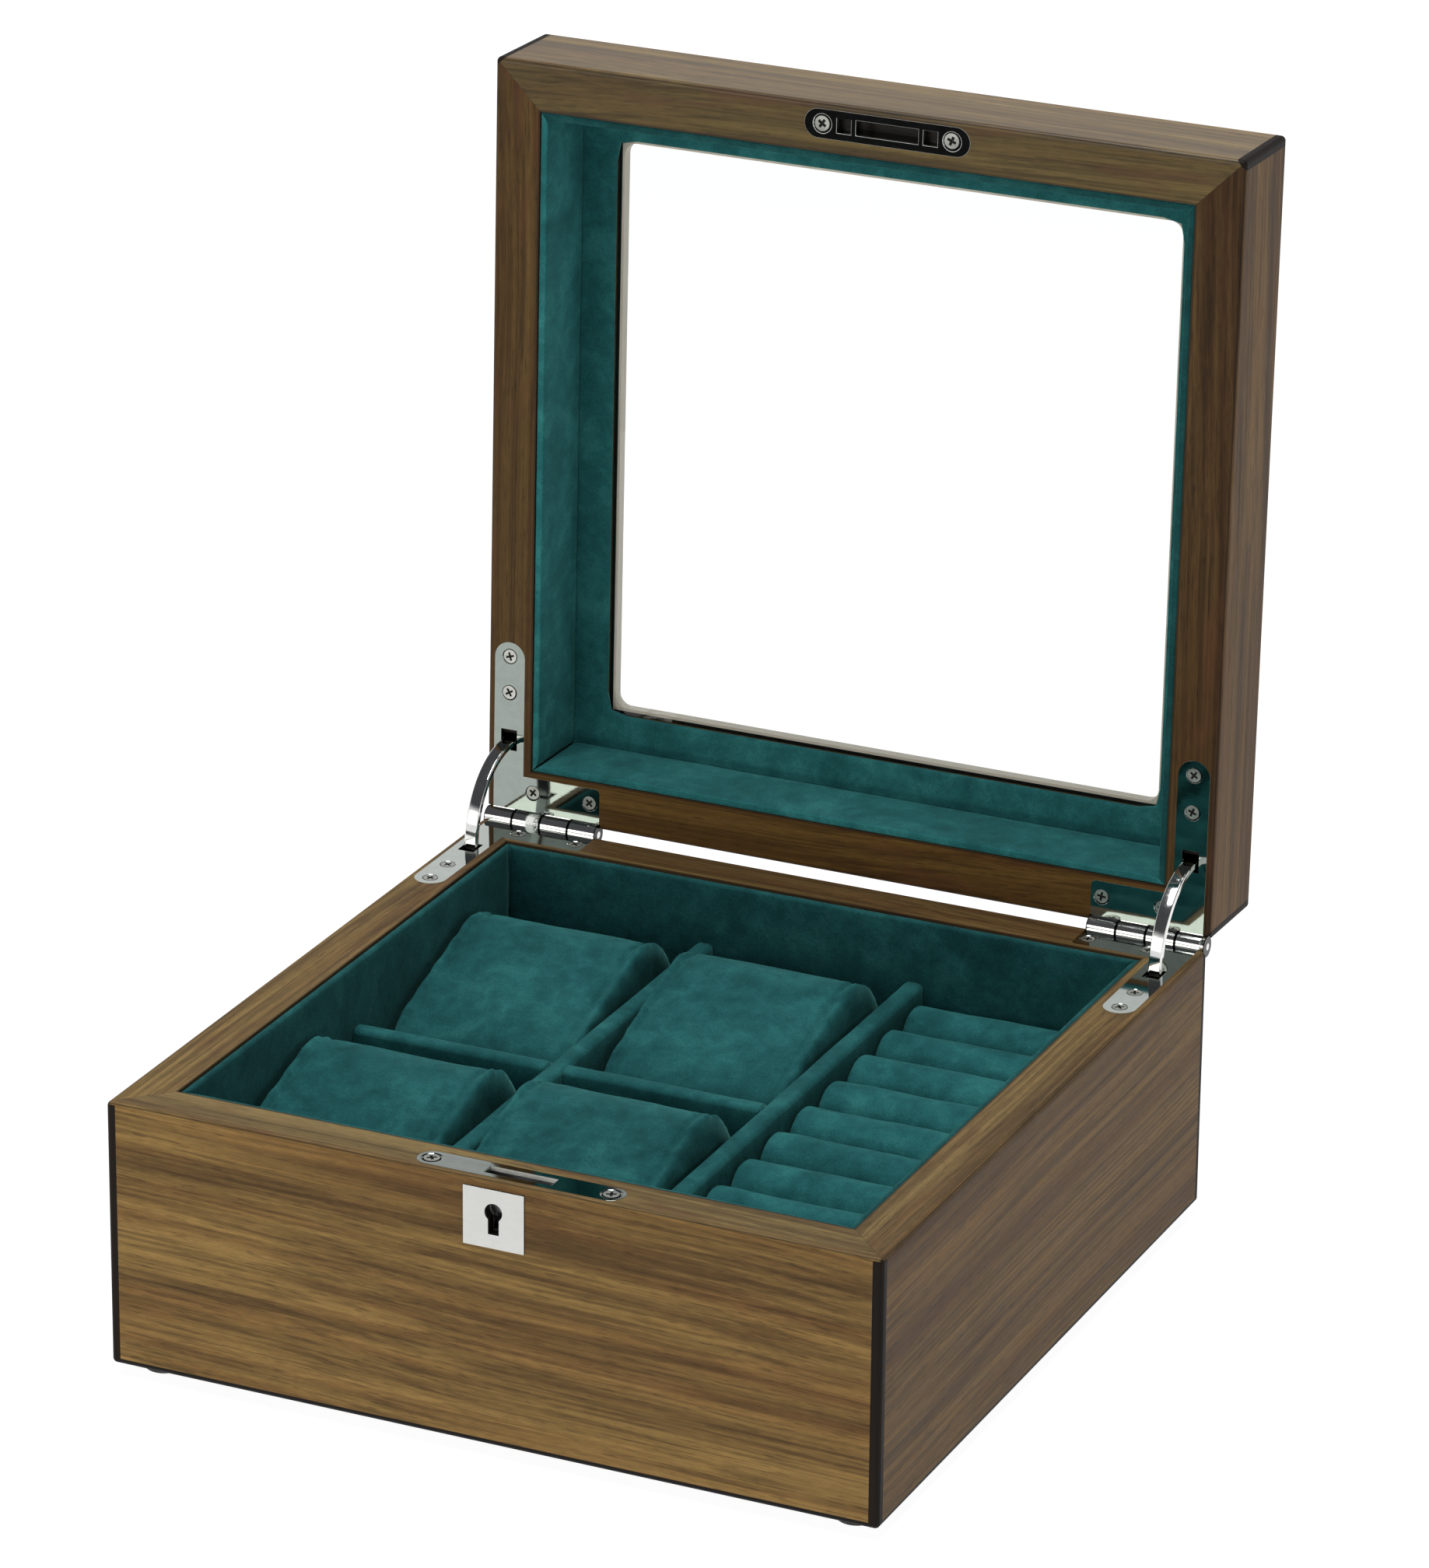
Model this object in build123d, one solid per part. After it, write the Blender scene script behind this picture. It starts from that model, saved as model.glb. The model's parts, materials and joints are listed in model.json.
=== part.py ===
from build123d import *
import os
from math import cos, degrees, radians, sin, sqrt

# Wooden display box for four watches and rows of cufflinks, with a glazed lid.
# Millimetres. +X is to the right, -Y is the front, +Z is up. The origin is the
# centre of the footprint on the surface that the four feet stand on.
# The lid is built shut and then swung back on its hinges, which is how it rests.

# ---- driving dimensions ----
case_width = 240.0
case_depth = 240.0
base_height = 82.0
lid_height = 33.0
wall = 15.0
edge_round = 1.5
inlay_width = 3.0
inlay_below_rim = 0.8
seam_gap = 0.3
lid_open_angle = 91.7

foot_height = 3.5
foot_diameter = 12.7
foot_inset = 11.3
foot_round = 1.5

bottom_thickness = 5.0
bottom_lift = 3.0
groove_depth = 4.0
groove_clearance = 0.2

liner_thickness = 2.5
liner_below_rim = 0.4
board_clearance = 0.1
floor_pad_thickness = 2.5

divider_top_below_rim = 20.2
divider_thickness = 6.0
main_divider_thickness = 6.5
main_divider_x = 33.0
divider_edge_round = 1.5

pillow_length = 82.0
pillow_thickness = 50.0
pillow_corner = 22.0
pillow_tilt = 17.5
pillow_end_chamfer = 1.6
pillow_side_gap = 1.5
soft_gap = 0.3

roll_count = 10
roll_top_below_rim = 23.0

top_frame_thickness = 5.5
top_frame_rebate = 5.0
window_border = 29.5
window_corner = 4.0
glass_thickness = 2.0
glass_rebate = 6.0
retainer_thickness = 1.5
retainer_setback = 1.5

hinge_overhang = 1.6
barrel_radius = 3.2
barrel_length = 38.0
barrel_end_inset = 0.5
knuckle_count = 4
knuckle_gap = 0.15
hinge_pin_radius = 1.1
running_clearance = 0.05
barrel_clearance = 0.3
leaf_thickness = 1.5
leaf_width = 10.2
leaf_edge_inset = 2.2
side_arm_length = 56.0
back_arm_inset = 13.0
leaf_corner = 1.5
side_screw_spacing = 11.8
side_screw_from_tip = 4.6
back_screw_from_end = 3.4
back_screw_spacing = 19.4
back_screw_inset = 8.0

stay_radius = 25.0
stay_width = 4.2
stay_thickness = 2.2
stay_head_width = 7.4
stay_head_angle = 4.0
stay_head_play = 0.3
stay_slot_width = 5.4
stay_slot_front = 4.2
stay_slot_back = 2.5
stay_pocket_width = 8.0
stay_pocket_margin = 1.7

screw_head_radius = 2.5
lock_screw_head_radius = 3.0
screw_shank_radius = 1.25
screw_length = 9.0
screw_recess_length = 3.0
screw_recess_width = 0.7
screw_recess_depth = 0.6

lock_x = 7.8
lock_from_front = 6.4
lock_plate_length = 64.0
lock_plate_width = 9.0
lock_screw_spacing = 55.4
lock_slot_length = 20.6
lock_slot_width = 4.4
lock_case_length = 38.0
lock_case_depth = 7.0
lock_case_height = 22.5
lock_sheet = 0.8

key_offset = -5.3
key_below_rim = 9.7
keyhole_radius = 2.65
keyhole_slot_width = 3.2
keyhole_height = 9.3
key_post_radius = 1.3

claw_thickness = 2.4
claw_hub_radius = 4.2
claw_arm_height = 4.6
claw_reach = 15.2
claw_nose_length = 3.3
claw_nose_height = 7.2
claw_clearance = 0.5
claw_swing_height = 0.6
lock_spring_thickness = 0.5
lock_spring_gap = 0.3

escutcheon_width = 19.0
escutcheon_height = 18.0
escutcheon_thickness = 1.2
escutcheon_proud = 0.4
escutcheon_above_key = 7.0

strike_length = 53.0
strike_width = 9.0
strike_screw_spacing = 41.4
strike_window_length = 20.0
strike_window_width = 4.6
strike_side_window = 4.6
strike_side_spacing = 27.6
strike_pocket_depth = 2.0

# ---- levels and places worked out from the dimensions ----
half_width = case_width / 2
half_depth = case_depth / 2
inner_x = half_width - wall
inner_y = half_depth - wall
base_bottom = foot_height
rim = base_bottom + base_height
lid_rim = rim + seam_gap
lid_top = lid_rim + lid_height
panel_bottom = base_bottom + bottom_lift
panel_top = panel_bottom + bottom_thickness
floor_top = panel_top + floor_pad_thickness
room_x = inner_x - liner_thickness
room_y = inner_y - liner_thickness

divider_top = rim - divider_top_below_rim
main_left = main_divider_x - main_divider_thickness / 2
main_right = main_divider_x + main_divider_thickness / 2
column_x = (main_left - room_x) / 2
cell_width = (main_left + room_x - divider_thickness) / 2

roll_pitch = 2 * room_y / roll_count
roll_radius = (roll_pitch - soft_gap) / 2
roll_top = rim - roll_top_below_rim
roll_bottom = roll_top - 2 * roll_radius
bed_top = roll_bottom - soft_gap

frame_bottom = lid_top - top_frame_thickness
retainer_bottom = frame_bottom - retainer_thickness
window_x = half_width - window_border
window_y = half_depth - window_border

hinge_y = half_depth + hinge_overhang
hinge_z = (rim + lid_rim) / 2
barrel_outer = half_width - barrel_end_inset
barrel_inner = barrel_outer - barrel_length
knuckle_pitch = barrel_length / knuckle_count
leaf_x = half_width - leaf_edge_inset - leaf_width / 2
leaf_tip = half_depth - side_arm_length
stay_y = hinge_y - stay_radius

lock_y = -half_depth + lock_from_front
key_x = lock_x + key_offset
key_z = rim - key_below_rim
lock_case_top = rim - leaf_thickness
lock_case_bottom = lock_case_top - lock_case_height
lock_case_front = lock_y - lock_case_depth / 2
lock_case_back = lock_y + lock_case_depth / 2
claw_tip_radius = sqrt(claw_reach**2 + claw_nose_height**2)

hinge_axis = Axis((0, hinge_y, hinge_z), (1, 0, 0))


# ---- helpers ----
def block(x0, x1, y0, y1, z0, z1):
    """A box between two corners."""
    middle = Pos((x0 + x1) / 2, (y0 + y1) / 2, (z0 + z1) / 2)
    return middle * Box(x1 - x0, y1 - y0, z1 - z0)


def upright(outline, z0, z1):
    """A flat outline in XY, raised from z0 to z1."""
    return extrude(Pos(0, 0, z0) * outline, amount=z1 - z0, dir=(0, 0, 1))


def rod_x(radius, x0, x1, y, z):
    """A round bar along X."""
    return Pos((x0 + x1) / 2, y, z) * Rot(0, 90, 0) * Cylinder(radius, x1 - x0)


def rod_y(radius, y0, y1, x, z):
    """A round bar along Y."""
    return Pos(x, (y0 + y1) / 2, z) * Rot(90, 0, 0) * Cylinder(radius, y1 - y0)


def mirrored(shape):
    """The same piece on the other side of the box."""
    return mirror(shape, about=Plane.YZ)


def both_sides(shape):
    return [shape, mirrored(shape)]


def swung_open(shape):
    """A lid piece, turned from shut to its rest against the stays."""
    return shape.rotate(hinge_axis, -lid_open_angle)


def mitred_ring(out_x, out_y, in_x, in_y, z0, z1):
    """Four boards that meet at mitred corners, by side."""
    outer = [(-out_x, -out_y), (out_x, -out_y), (out_x, out_y), (-out_x, out_y)]
    inner = [(-in_x, -in_y), (in_x, -in_y), (in_x, in_y), (-in_x, in_y)]
    boards = {}
    for i, side in enumerate(("front", "right", "back", "left")):
        j = (i + 1) % 4
        outline = make_face(Polyline(outer[i], outer[j], inner[j], inner[i], close=True))
        boards[side] = upright(outline, z0, z1)
    return boards


def softened_case(z0, z1):
    """The outside of the case between two levels, with its edges eased."""
    case = block(-half_width, half_width, -half_depth, half_depth, z0, z1)
    return fillet(case.edges(), edge_round)


def corner_strips(z0, z1):
    """The three-sided strips let into the four upright edges of the case."""
    side = inlay_width * sqrt(2)
    strips = []
    for x in (-half_width, half_width):
        for y in (-half_depth, half_depth):
            strips.append(Pos(x, y, (z0 + z1) / 2) * Rot(0, 0, 45) * Box(side, side, z1 - z0))
    return strips


def cut(shape, cutters):
    """The shape less each cutter."""
    for cutter in cutters:
        shape = shape - cutter
    return shape


def group(shapes):
    """Separate solids of one node."""
    solids = []
    for shape in shapes:
        solids.extend(shape.solids())
    return Compound(children=solids)


# ---- screws ----
def screw_blank(x, y, face_z, outward, head_radius=screw_head_radius):
    """A countersunk screw without its recess; outward is +1 where the head looks up."""
    head_height = head_radius - screw_shank_radius
    head = Pos(0, 0, -head_height / 2) * Cone(screw_shank_radius, head_radius, head_height)
    shank = Pos(0, 0, -screw_length / 2) * Cylinder(screw_shank_radius, screw_length)
    blank = head + shank
    if outward < 0:
        blank = Rot(180, 0, 0) * blank
    return Pos(x, y, face_z) * blank


def screw(x, y, face_z, outward, head_radius=screw_head_radius):
    """A countersunk screw with a cross recess."""
    arm = Box(screw_recess_length, screw_recess_width, 2 * screw_recess_depth)
    recess = arm + Rot(0, 0, 90) * arm
    return screw_blank(x, y, face_z, outward, head_radius) - Pos(x, y, face_z) * recess


side_screw_y = leaf_tip + side_screw_from_tip
hinge_screw_places = [
    (leaf_x, side_screw_y),
    (leaf_x, side_screw_y + side_screw_spacing),
    (barrel_inner + back_screw_from_end, half_depth - back_screw_inset),
    (barrel_inner + back_screw_from_end + back_screw_spacing, half_depth - back_screw_inset),
]
lock_screw_places = [(lock_x + s * lock_screw_spacing / 2, lock_y) for s in (-1, 1)]
strike_screw_places = [(lock_x + s * strike_screw_spacing / 2, lock_y) for s in (-1, 1)]


def hinge_screws(face_z, outward, make):
    """The screws of both hinges in one rim, or their holes."""
    screws = [make(x, y, face_z, outward) for x, y in hinge_screw_places]
    return screws + [mirrored(piece) for piece in screws]


def plate_screws(places, face_z, outward, make):
    """The wider screws of the lock or of the strike plate, or their holes."""
    return [make(x, y, face_z, outward, lock_screw_head_radius) for x, y in places]


# ---- quadrant hinges ----
def leaf_outline():
    """The right leaf seen from above: an arm along the side, an arm along the back."""
    side_length = hinge_y - leaf_tip - leaf_width / 2
    side_arm = Pos(leaf_x, hinge_y - side_length / 2) * Rectangle(leaf_width, side_length)
    side_arm += Pos(leaf_x, leaf_tip + leaf_width / 2) * Circle(leaf_width / 2)
    back_front = half_depth - back_arm_inset
    back_right = leaf_x + leaf_width / 2
    back_size = (back_right - barrel_inner, hinge_y - back_front)
    back_arm = Pos((back_right + barrel_inner) / 2, (hinge_y + back_front) / 2) * Rectangle(*back_size)
    back_arm = fillet(back_arm.vertices().sort_by(Axis.X)[:2], leaf_corner)
    return side_arm + back_arm


def stay_slot(z0, z1):
    """The slot through a leaf for the stay to slide in."""
    half = stay_slot_width / 2
    front = stay_y - stay_slot_front
    back = stay_y + stay_slot_back
    return block(leaf_x - half, leaf_x + half, front, back, z0, z1)


def knuckle(index, radius, extra=0.0):
    """One knuckle of the barrel, counted from the inner end, or room for it."""
    start = barrel_inner + index * knuckle_pitch + knuckle_gap / 2 - extra
    end = barrel_inner + (index + 1) * knuckle_pitch - knuckle_gap / 2 + extra
    return rod_x(radius, start, end, hinge_y, hinge_z)


def hinge_leaf(z0, z1, first_knuckle, outward, pin_clearance):
    """One leaf with every second knuckle of the barrel."""
    own = range(first_knuckle, knuckle_count, 2)
    others = range(1 - first_knuckle, knuckle_count, 2)
    leaf = upright(leaf_outline(), z0, z1)
    for index in others:
        leaf -= knuckle(index, barrel_radius + barrel_clearance, knuckle_gap / 2)
    for index in own:
        leaf += knuckle(index, barrel_radius)
    leaf -= rod_x(hinge_pin_radius + pin_clearance, barrel_inner - 1, barrel_outer + 1, hinge_y, hinge_z)
    leaf -= stay_slot(z0 - 1, z1 + 1)
    face_z = z1 if outward > 0 else z0
    for x, y in hinge_screw_places:
        leaf -= screw_blank(x, y, face_z, outward)
    return leaf


def quadrant_band(r_in, r_out, start, end, width):
    """A band about the hinge axis at the stay; angles fall from the front of the axis."""
    plane = Plane(origin=(leaf_x - width / 2, hinge_y, hinge_z), x_dir=(0, -1, 0), z_dir=(1, 0, 0))
    sweep = end - start
    ends = [(cos(radians(a)), sin(radians(a))) for a in (start, end)]
    edges = [
        CenterArc((0, 0), r_out, start, sweep),
        CenterArc((0, 0), r_in, start, sweep),
    ]
    edges += [Line((r_in * c, r_in * s), (r_out * c, r_out * s)) for c, s in ends]
    return extrude(plane * make_face(edges), amount=width, dir=(1, 0, 0))


# angle at the stay's circle from the axis plane to the inner side of a leaf
leaf_angle = degrees((leaf_thickness + seam_gap / 2 + stay_head_play) / stay_radius)
head_end_angle = leaf_angle + stay_head_angle
stay_in = stay_radius - stay_thickness / 2
stay_out = stay_radius + stay_thickness / 2


def stay():
    """The curved stay as it rests, with a wide head behind each leaf."""
    top = -lid_open_angle
    strip = quadrant_band(stay_in, stay_out, top - head_end_angle, head_end_angle, stay_width)
    lower = quadrant_band(stay_in, stay_out, leaf_angle, head_end_angle, stay_head_width)
    upper_ends = (top - head_end_angle, top - leaf_angle)
    upper = quadrant_band(stay_in, stay_out, *upper_ends, stay_head_width)
    return strip + lower + upper


def stay_pocket(downward):
    """The curved pocket that the stay sinks into when the lid shuts."""
    depth_angle = lid_open_angle / 2 + head_end_angle + stay_head_angle
    ends = (0, depth_angle) if downward else (-depth_angle, 0)
    r_in = stay_in - stay_pocket_margin
    r_out = stay_out + stay_pocket_margin
    return quadrant_band(r_in, r_out, *ends, stay_pocket_width)


def hinge_cuts(z_sunk, z_open, downward):
    """What one rim loses for both hinges: leaf, barrel and stay pocket."""
    low, high = sorted((z_sunk, z_open))
    recess = upright(leaf_outline(), low, high)
    barrel_end = half_width + 1
    radius = barrel_radius + barrel_clearance
    barrel = rod_x(radius, barrel_inner - barrel_clearance, barrel_end, hinge_y, hinge_z)
    right = [recess, barrel, stay_pocket(downward)]
    return right + [mirrored(piece) for piece in right]


# ---- lock ----
def rounded_plate(length, width, z0, z1):
    """A plate with round ends, on the lock's centre."""
    return upright(Pos(lock_x, lock_y) * SlotOverall(length, width), z0, z1)


def keyhole(y0, y1):
    """A round hole with a slot below it, along Y."""
    foot = key_z + keyhole_radius - keyhole_height
    half = keyhole_slot_width / 2
    slot = block(key_x - half, key_x + half, y0, y1, foot, key_z)
    return rod_y(keyhole_radius, y0, y1, key_x, key_z) + slot


def lock_face_plate():
    plate = rounded_plate(lock_plate_length, lock_plate_width, rim - leaf_thickness, rim)
    half_length = lock_slot_length / 2
    half_slot = lock_slot_width / 2
    slot_x = (lock_x - half_length, lock_x + half_length)
    plate -= block(*slot_x, lock_y - half_slot, lock_y + half_slot, rim - 2 * leaf_thickness, rim + 1)
    return cut(plate, plate_screws(lock_screw_places, rim, 1, screw_blank))


def lock_case_space():
    """The pocket that the lock's case fills."""
    half = lock_case_length / 2
    ends = (lock_x - half, lock_x + half)
    return block(*ends, lock_case_front, lock_case_back, lock_case_bottom, lock_case_top)


def lock_case():
    """A tray that opens to the front and, under the face plate, to the top."""
    half = lock_case_length / 2 - lock_sheet
    ends = (lock_x - half, lock_x + half)
    hollow = block(
        *ends,
        lock_case_front - 1,
        lock_case_back - lock_sheet,
        lock_case_bottom + lock_sheet,
        lock_case_top + 1,
    )
    front_sheet = block(
        lock_x - lock_case_length,
        lock_x + lock_case_length,
        lock_case_front - 1,
        lock_case_front + lock_sheet,
        lock_case_bottom - 1,
        lock_case_top + 1,
    )
    return lock_case_space() - hollow - front_sheet


def lock_cover():
    """The sheet that closes the case behind the keyhole."""
    half = lock_case_length / 2
    ends = (lock_x - half, lock_x + half)
    back = lock_case_front + lock_sheet
    sheet = block(*ends, lock_case_front, back, lock_case_bottom, lock_case_top)
    return sheet - keyhole(lock_case_front - 1, back + 1)


def key_post():
    """The pin that a barrel key slides over, riveted to the back of the case."""
    back = lock_case_back - lock_sheet
    return rod_y(key_post_radius, lock_case_front + lock_sheet + claw_clearance, back, key_x, key_z)


def lock_claw():
    """The claw that turns about the key post and hooks over the strike plate."""
    y0 = lock_y + claw_clearance - claw_thickness / 2
    y1 = y0 + claw_thickness
    half_arm = claw_arm_height / 2
    arm_end = key_x + claw_reach
    nose_start = arm_end - claw_nose_length
    hub = rod_y(claw_hub_radius, y0, y1, key_x, key_z)
    arm = block(key_x, arm_end, y0, y1, key_z - half_arm, key_z + half_arm)
    nose = block(nose_start, arm_end, y0, y1, key_z, key_z + claw_nose_height)
    bore = rod_y(key_post_radius + running_clearance, y0 - 1, y1 + 1, key_x, key_z)
    half_bit = keyhole_slot_width / 2
    bit_notch = block(key_x - half_bit, key_x + half_bit, y0 - 1, y1 + 1, key_z - claw_hub_radius - 1, key_z)
    bit_notch -= rod_y(keyhole_radius, y0 - 2, y1 + 2, key_x, key_z)
    return hub + arm + nose - bore - bit_notch


def lock_spring():
    """The flat spring under the hub, held between the ends of the case."""
    half = lock_case_length / 2 - lock_sheet
    top = key_z - claw_hub_radius - lock_spring_gap
    y0 = lock_y + claw_clearance - claw_thickness / 2
    ends = (lock_x - half, lock_x + half)
    return block(*ends, y0, y0 + claw_thickness, top - lock_spring_thickness, top)


def escutcheon():
    front = -half_depth - escutcheon_proud
    back = front + escutcheon_thickness
    top = key_z + escutcheon_above_key
    half = escutcheon_width / 2
    plate = block(key_x - half, key_x + half, front, back, top - escutcheon_height, top)
    return plate - keyhole(front - 1, back + 1)


def strike_windows(z0, z1):
    """The claw's window and a small window at each side of it."""
    half = strike_window_length / 2
    half_across = strike_window_width / 2
    across = (lock_y - half_across, lock_y + half_across)
    windows = [block(lock_x - half, lock_x + half, *across, z0, z1)]
    half_side = strike_side_window / 2
    for s in (-1, 1):
        middle = lock_x + s * strike_side_spacing / 2
        windows.append(block(middle - half_side, middle + half_side, *across, z0, z1))
    return windows


def strike_plate():
    plate = rounded_plate(strike_length, strike_width, lid_rim, lid_rim + leaf_thickness)
    plate = cut(plate, strike_windows(lid_rim - 1, lid_rim + 2 * leaf_thickness))
    return cut(plate, plate_screws(strike_screw_places, lid_rim, -1, screw_blank))


def claw_pocket():
    """Room in the lid's front rail for the claw to swing in behind the strike plate."""
    top = key_z + claw_tip_radius + claw_swing_height
    left = key_x - claw_nose_height - claw_clearance
    right = lock_x + strike_window_length / 2
    half = strike_window_width / 2
    return block(left, right, lock_y - half, lock_y + half, lid_rim, top)


# ---- wooden case ----
def base_cuts():
    """Everything that is cut out of the base's walls and corner strips."""
    edge = groove_depth
    panel = (-inner_x - edge, inner_x + edge, -inner_y - edge, inner_y + edge, panel_bottom, panel_top)
    cuts = [block(*panel)]
    cuts += hinge_cuts(rim - leaf_thickness, rim + 1, True)
    cuts += hinge_screws(rim, 1, screw_blank)
    cuts += plate_screws(lock_screw_places, rim, 1, screw_blank)
    cuts.append(rounded_plate(lock_plate_length, lock_plate_width, rim - leaf_thickness, rim + 1))
    cuts.append(lock_case_space())
    cuts.append(keyhole(-half_depth - 1, lock_case_front + 1))
    top = key_z + escutcheon_above_key
    half = escutcheon_width / 2
    back = -half_depth - escutcheon_proud + escutcheon_thickness
    cuts.append(block(key_x - half, key_x + half, -half_depth - 1, back, top - escutcheon_height, top))
    return cuts


def lid_cuts():
    """Everything that is cut out of the lid's rails and corner strips."""
    edge = top_frame_rebate
    rebate = (-inner_x - edge, inner_x + edge, -inner_y - edge, inner_y + edge, frame_bottom, lid_top + 1)
    cuts = [block(*rebate)]
    cuts += hinge_cuts(lid_rim + leaf_thickness, lid_rim - 1, False)
    cuts += hinge_screws(lid_rim, -1, screw_blank)
    cuts += plate_screws(strike_screw_places, lid_rim, -1, screw_blank)
    cuts.append(rounded_plate(strike_length, strike_width, lid_rim - 1, lid_rim + leaf_thickness))
    cuts += strike_windows(lid_rim, lid_rim + leaf_thickness + strike_pocket_depth)
    cuts.append(claw_pocket())
    return cuts


def case_pieces(z0, z1, strip_top, cuts):
    """The four mitred boards and the four corner strips of one half of the case."""
    outside = softened_case(z0, z1)
    strips = corner_strips(z0, strip_top)
    boards = mitred_ring(half_width, half_depth, inner_x, inner_y, z0, z1)
    boards = {side: cut((board & outside), strips + cuts) for side, board in boards.items()}
    return boards, group([cut(strip & outside, cuts) for strip in strips])


def bottom_panel():
    edge = groove_depth - groove_clearance
    size = (-inner_x - edge, inner_x + edge, -inner_y - edge, inner_y + edge)
    return block(*size, panel_bottom, panel_top)


def feet():
    pads = []
    for x in (-half_width + foot_inset, half_width - foot_inset):
        for y in (-half_depth + foot_inset, half_depth - foot_inset):
            pad = Pos(x, y, foot_height / 2) * Cylinder(foot_diameter / 2, foot_height)
            pads.append(fillet(pad.edges().sort_by(Axis.Z)[0], foot_round))
    return group(pads)


# ---- velvet-covered fittings of the base ----
def liner(z0, z1):
    edge = board_clearance
    return mitred_ring(inner_x - edge, inner_y - edge, room_x, room_y, z0, z1)


def floor_pad():
    x = room_x - board_clearance
    y = room_y - board_clearance
    return block(-x, x, -y, y, panel_top, floor_top)


def divider(x0, x1, y0, y1):
    """An upright board with rounded top edges."""
    board = block(x0, x1, y0, y1, floor_top, divider_top)
    along = Axis.X if x1 - x0 > y1 - y0 else Axis.Y
    edges = board.edges().filter_by(along).group_by(Axis.Z)[-1]
    return fillet(edges, divider_edge_round)


def dividers():
    """The long divider, and two that cross by halving between the watch cells."""
    half = divider_thickness / 2
    y = room_y - board_clearance
    halving = (floor_top + divider_top) / 2
    main = divider(main_left, main_right, -y, y)
    row = divider(-room_x + board_clearance, main_left - board_clearance, -half, half)
    column = divider(column_x - half, column_x + half, -y, y)
    crossing = (column_x - half, column_x + half, -half, half)
    row -= block(*crossing, halving, divider_top + 1)
    column -= block(*crossing, floor_top - 1, halving)
    return main, row, column


pillow_width = cell_width - 2 * pillow_side_gap
cell_columns = {
    "left": (-room_x + column_x - divider_thickness / 2) / 2,
    "right": (main_left + column_x + divider_thickness / 2) / 2,
}
cell_rows = {
    "front": -(room_y + divider_thickness / 2) / 2,
    "rear": (room_y + divider_thickness / 2) / 2,
}


def watch_pillow(x, y):
    """A stuffed cushion that a closed watch strap goes round, higher at its back."""
    tilt = radians(pillow_tilt)
    straight_length = pillow_length / 2 - pillow_corner
    straight_height = pillow_thickness / 2 - pillow_corner
    half_height = straight_length * sin(tilt) + straight_height * cos(tilt) + pillow_corner
    section = Rot(0, 0, pillow_tilt) * RectangleRounded(pillow_length, pillow_thickness, pillow_corner)
    origin = (x - pillow_width / 2, y, floor_top + soft_gap + half_height)
    plane = Plane(origin=origin, x_dir=(0, 1, 0), z_dir=(1, 0, 0))
    pillow = extrude(plane * section, amount=pillow_width, dir=(1, 0, 0))
    ends = pillow.faces().sort_by(Axis.X)
    return chamfer(ends[0].edges() + ends[-1].edges(), pillow_end_chamfer)


def cufflink_bed():
    """The block that lifts the rolls to the height of a hand."""
    y = room_y - board_clearance
    ends = (main_right + board_clearance, room_x - board_clearance)
    return block(*ends, -y, y, floor_top, bed_top)


def cufflink_rolls():
    """Velvet rolls side by side, which grip a cufflink between two of them."""
    x0 = main_right + soft_gap
    x1 = room_x - soft_gap
    section = Pos(0, -roll_radius) * Circle(roll_radius)
    section += Pos(0, -1.5 * roll_radius) * Rectangle(2 * roll_radius, roll_radius)
    rolls = []
    for index in range(roll_count):
        y = -room_y + (index + 0.5) * roll_pitch
        plane = Plane(origin=(x0, y, roll_top), x_dir=(0, 1, 0), z_dir=(1, 0, 0))
        rolls.append(extrude(plane * section, amount=x1 - x0, dir=(1, 0, 0)))
    return group(rolls)


# ---- glazing of the lid ----
def lid_top_frame():
    """The board round the glass, rebated from below for the pane."""
    x = inner_x + top_frame_rebate - board_clearance
    y = inner_y + top_frame_rebate - board_clearance
    board = block(-x, x, -y, y, frame_bottom, lid_top)
    window = RectangleRounded(2 * window_x, 2 * window_y, window_corner)
    board -= upright(window, frame_bottom - 1, lid_top + 1)
    pane_x = window_x + glass_rebate
    pane_y = window_y + glass_rebate
    return board - block(-pane_x, pane_x, -pane_y, pane_y, frame_bottom - 1, frame_bottom + glass_thickness)


def glass_pane():
    x = window_x + glass_rebate - groove_clearance
    y = window_y + glass_rebate - groove_clearance
    return block(-x, x, -y, y, frame_bottom, frame_bottom + glass_thickness)


def glass_retainer():
    """The velvet-covered frame that holds the pane up and hides its edge."""
    x = inner_x - board_clearance
    y = inner_y - board_clearance
    board = block(-x, x, -y, y, retainer_bottom, frame_bottom)
    size = (2 * (window_x + retainer_setback), 2 * (window_y + retainer_setback))
    return board - upright(RectangleRounded(*size, window_corner), retainer_bottom - 1, frame_bottom + 1)


# ---- the nodes ----
nodes = {}

base_boards, base_strips = case_pieces(base_bottom, rim, rim - inlay_below_rim, base_cuts())
for side, board in base_boards.items():
    nodes[f"base_wall_{side}"] = board
nodes["base_corner_inlays"] = base_strips
nodes["bottom_panel"] = bottom_panel()
nodes["feet"] = feet()

for side, board in liner(panel_top, rim - liner_below_rim).items():
    nodes[f"base_liner_{side}"] = board
nodes["floor_pad"] = floor_pad()
nodes["main_divider"], nodes["row_divider"], nodes["column_divider"] = dividers()
nodes["cufflink_bed"] = cufflink_bed()
nodes["cufflink_rolls"] = cufflink_rolls()
for row, y in cell_rows.items():
    for column, x in cell_columns.items():
        nodes[f"watch_pillow_{row}_{column}"] = watch_pillow(x, y)

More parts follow.
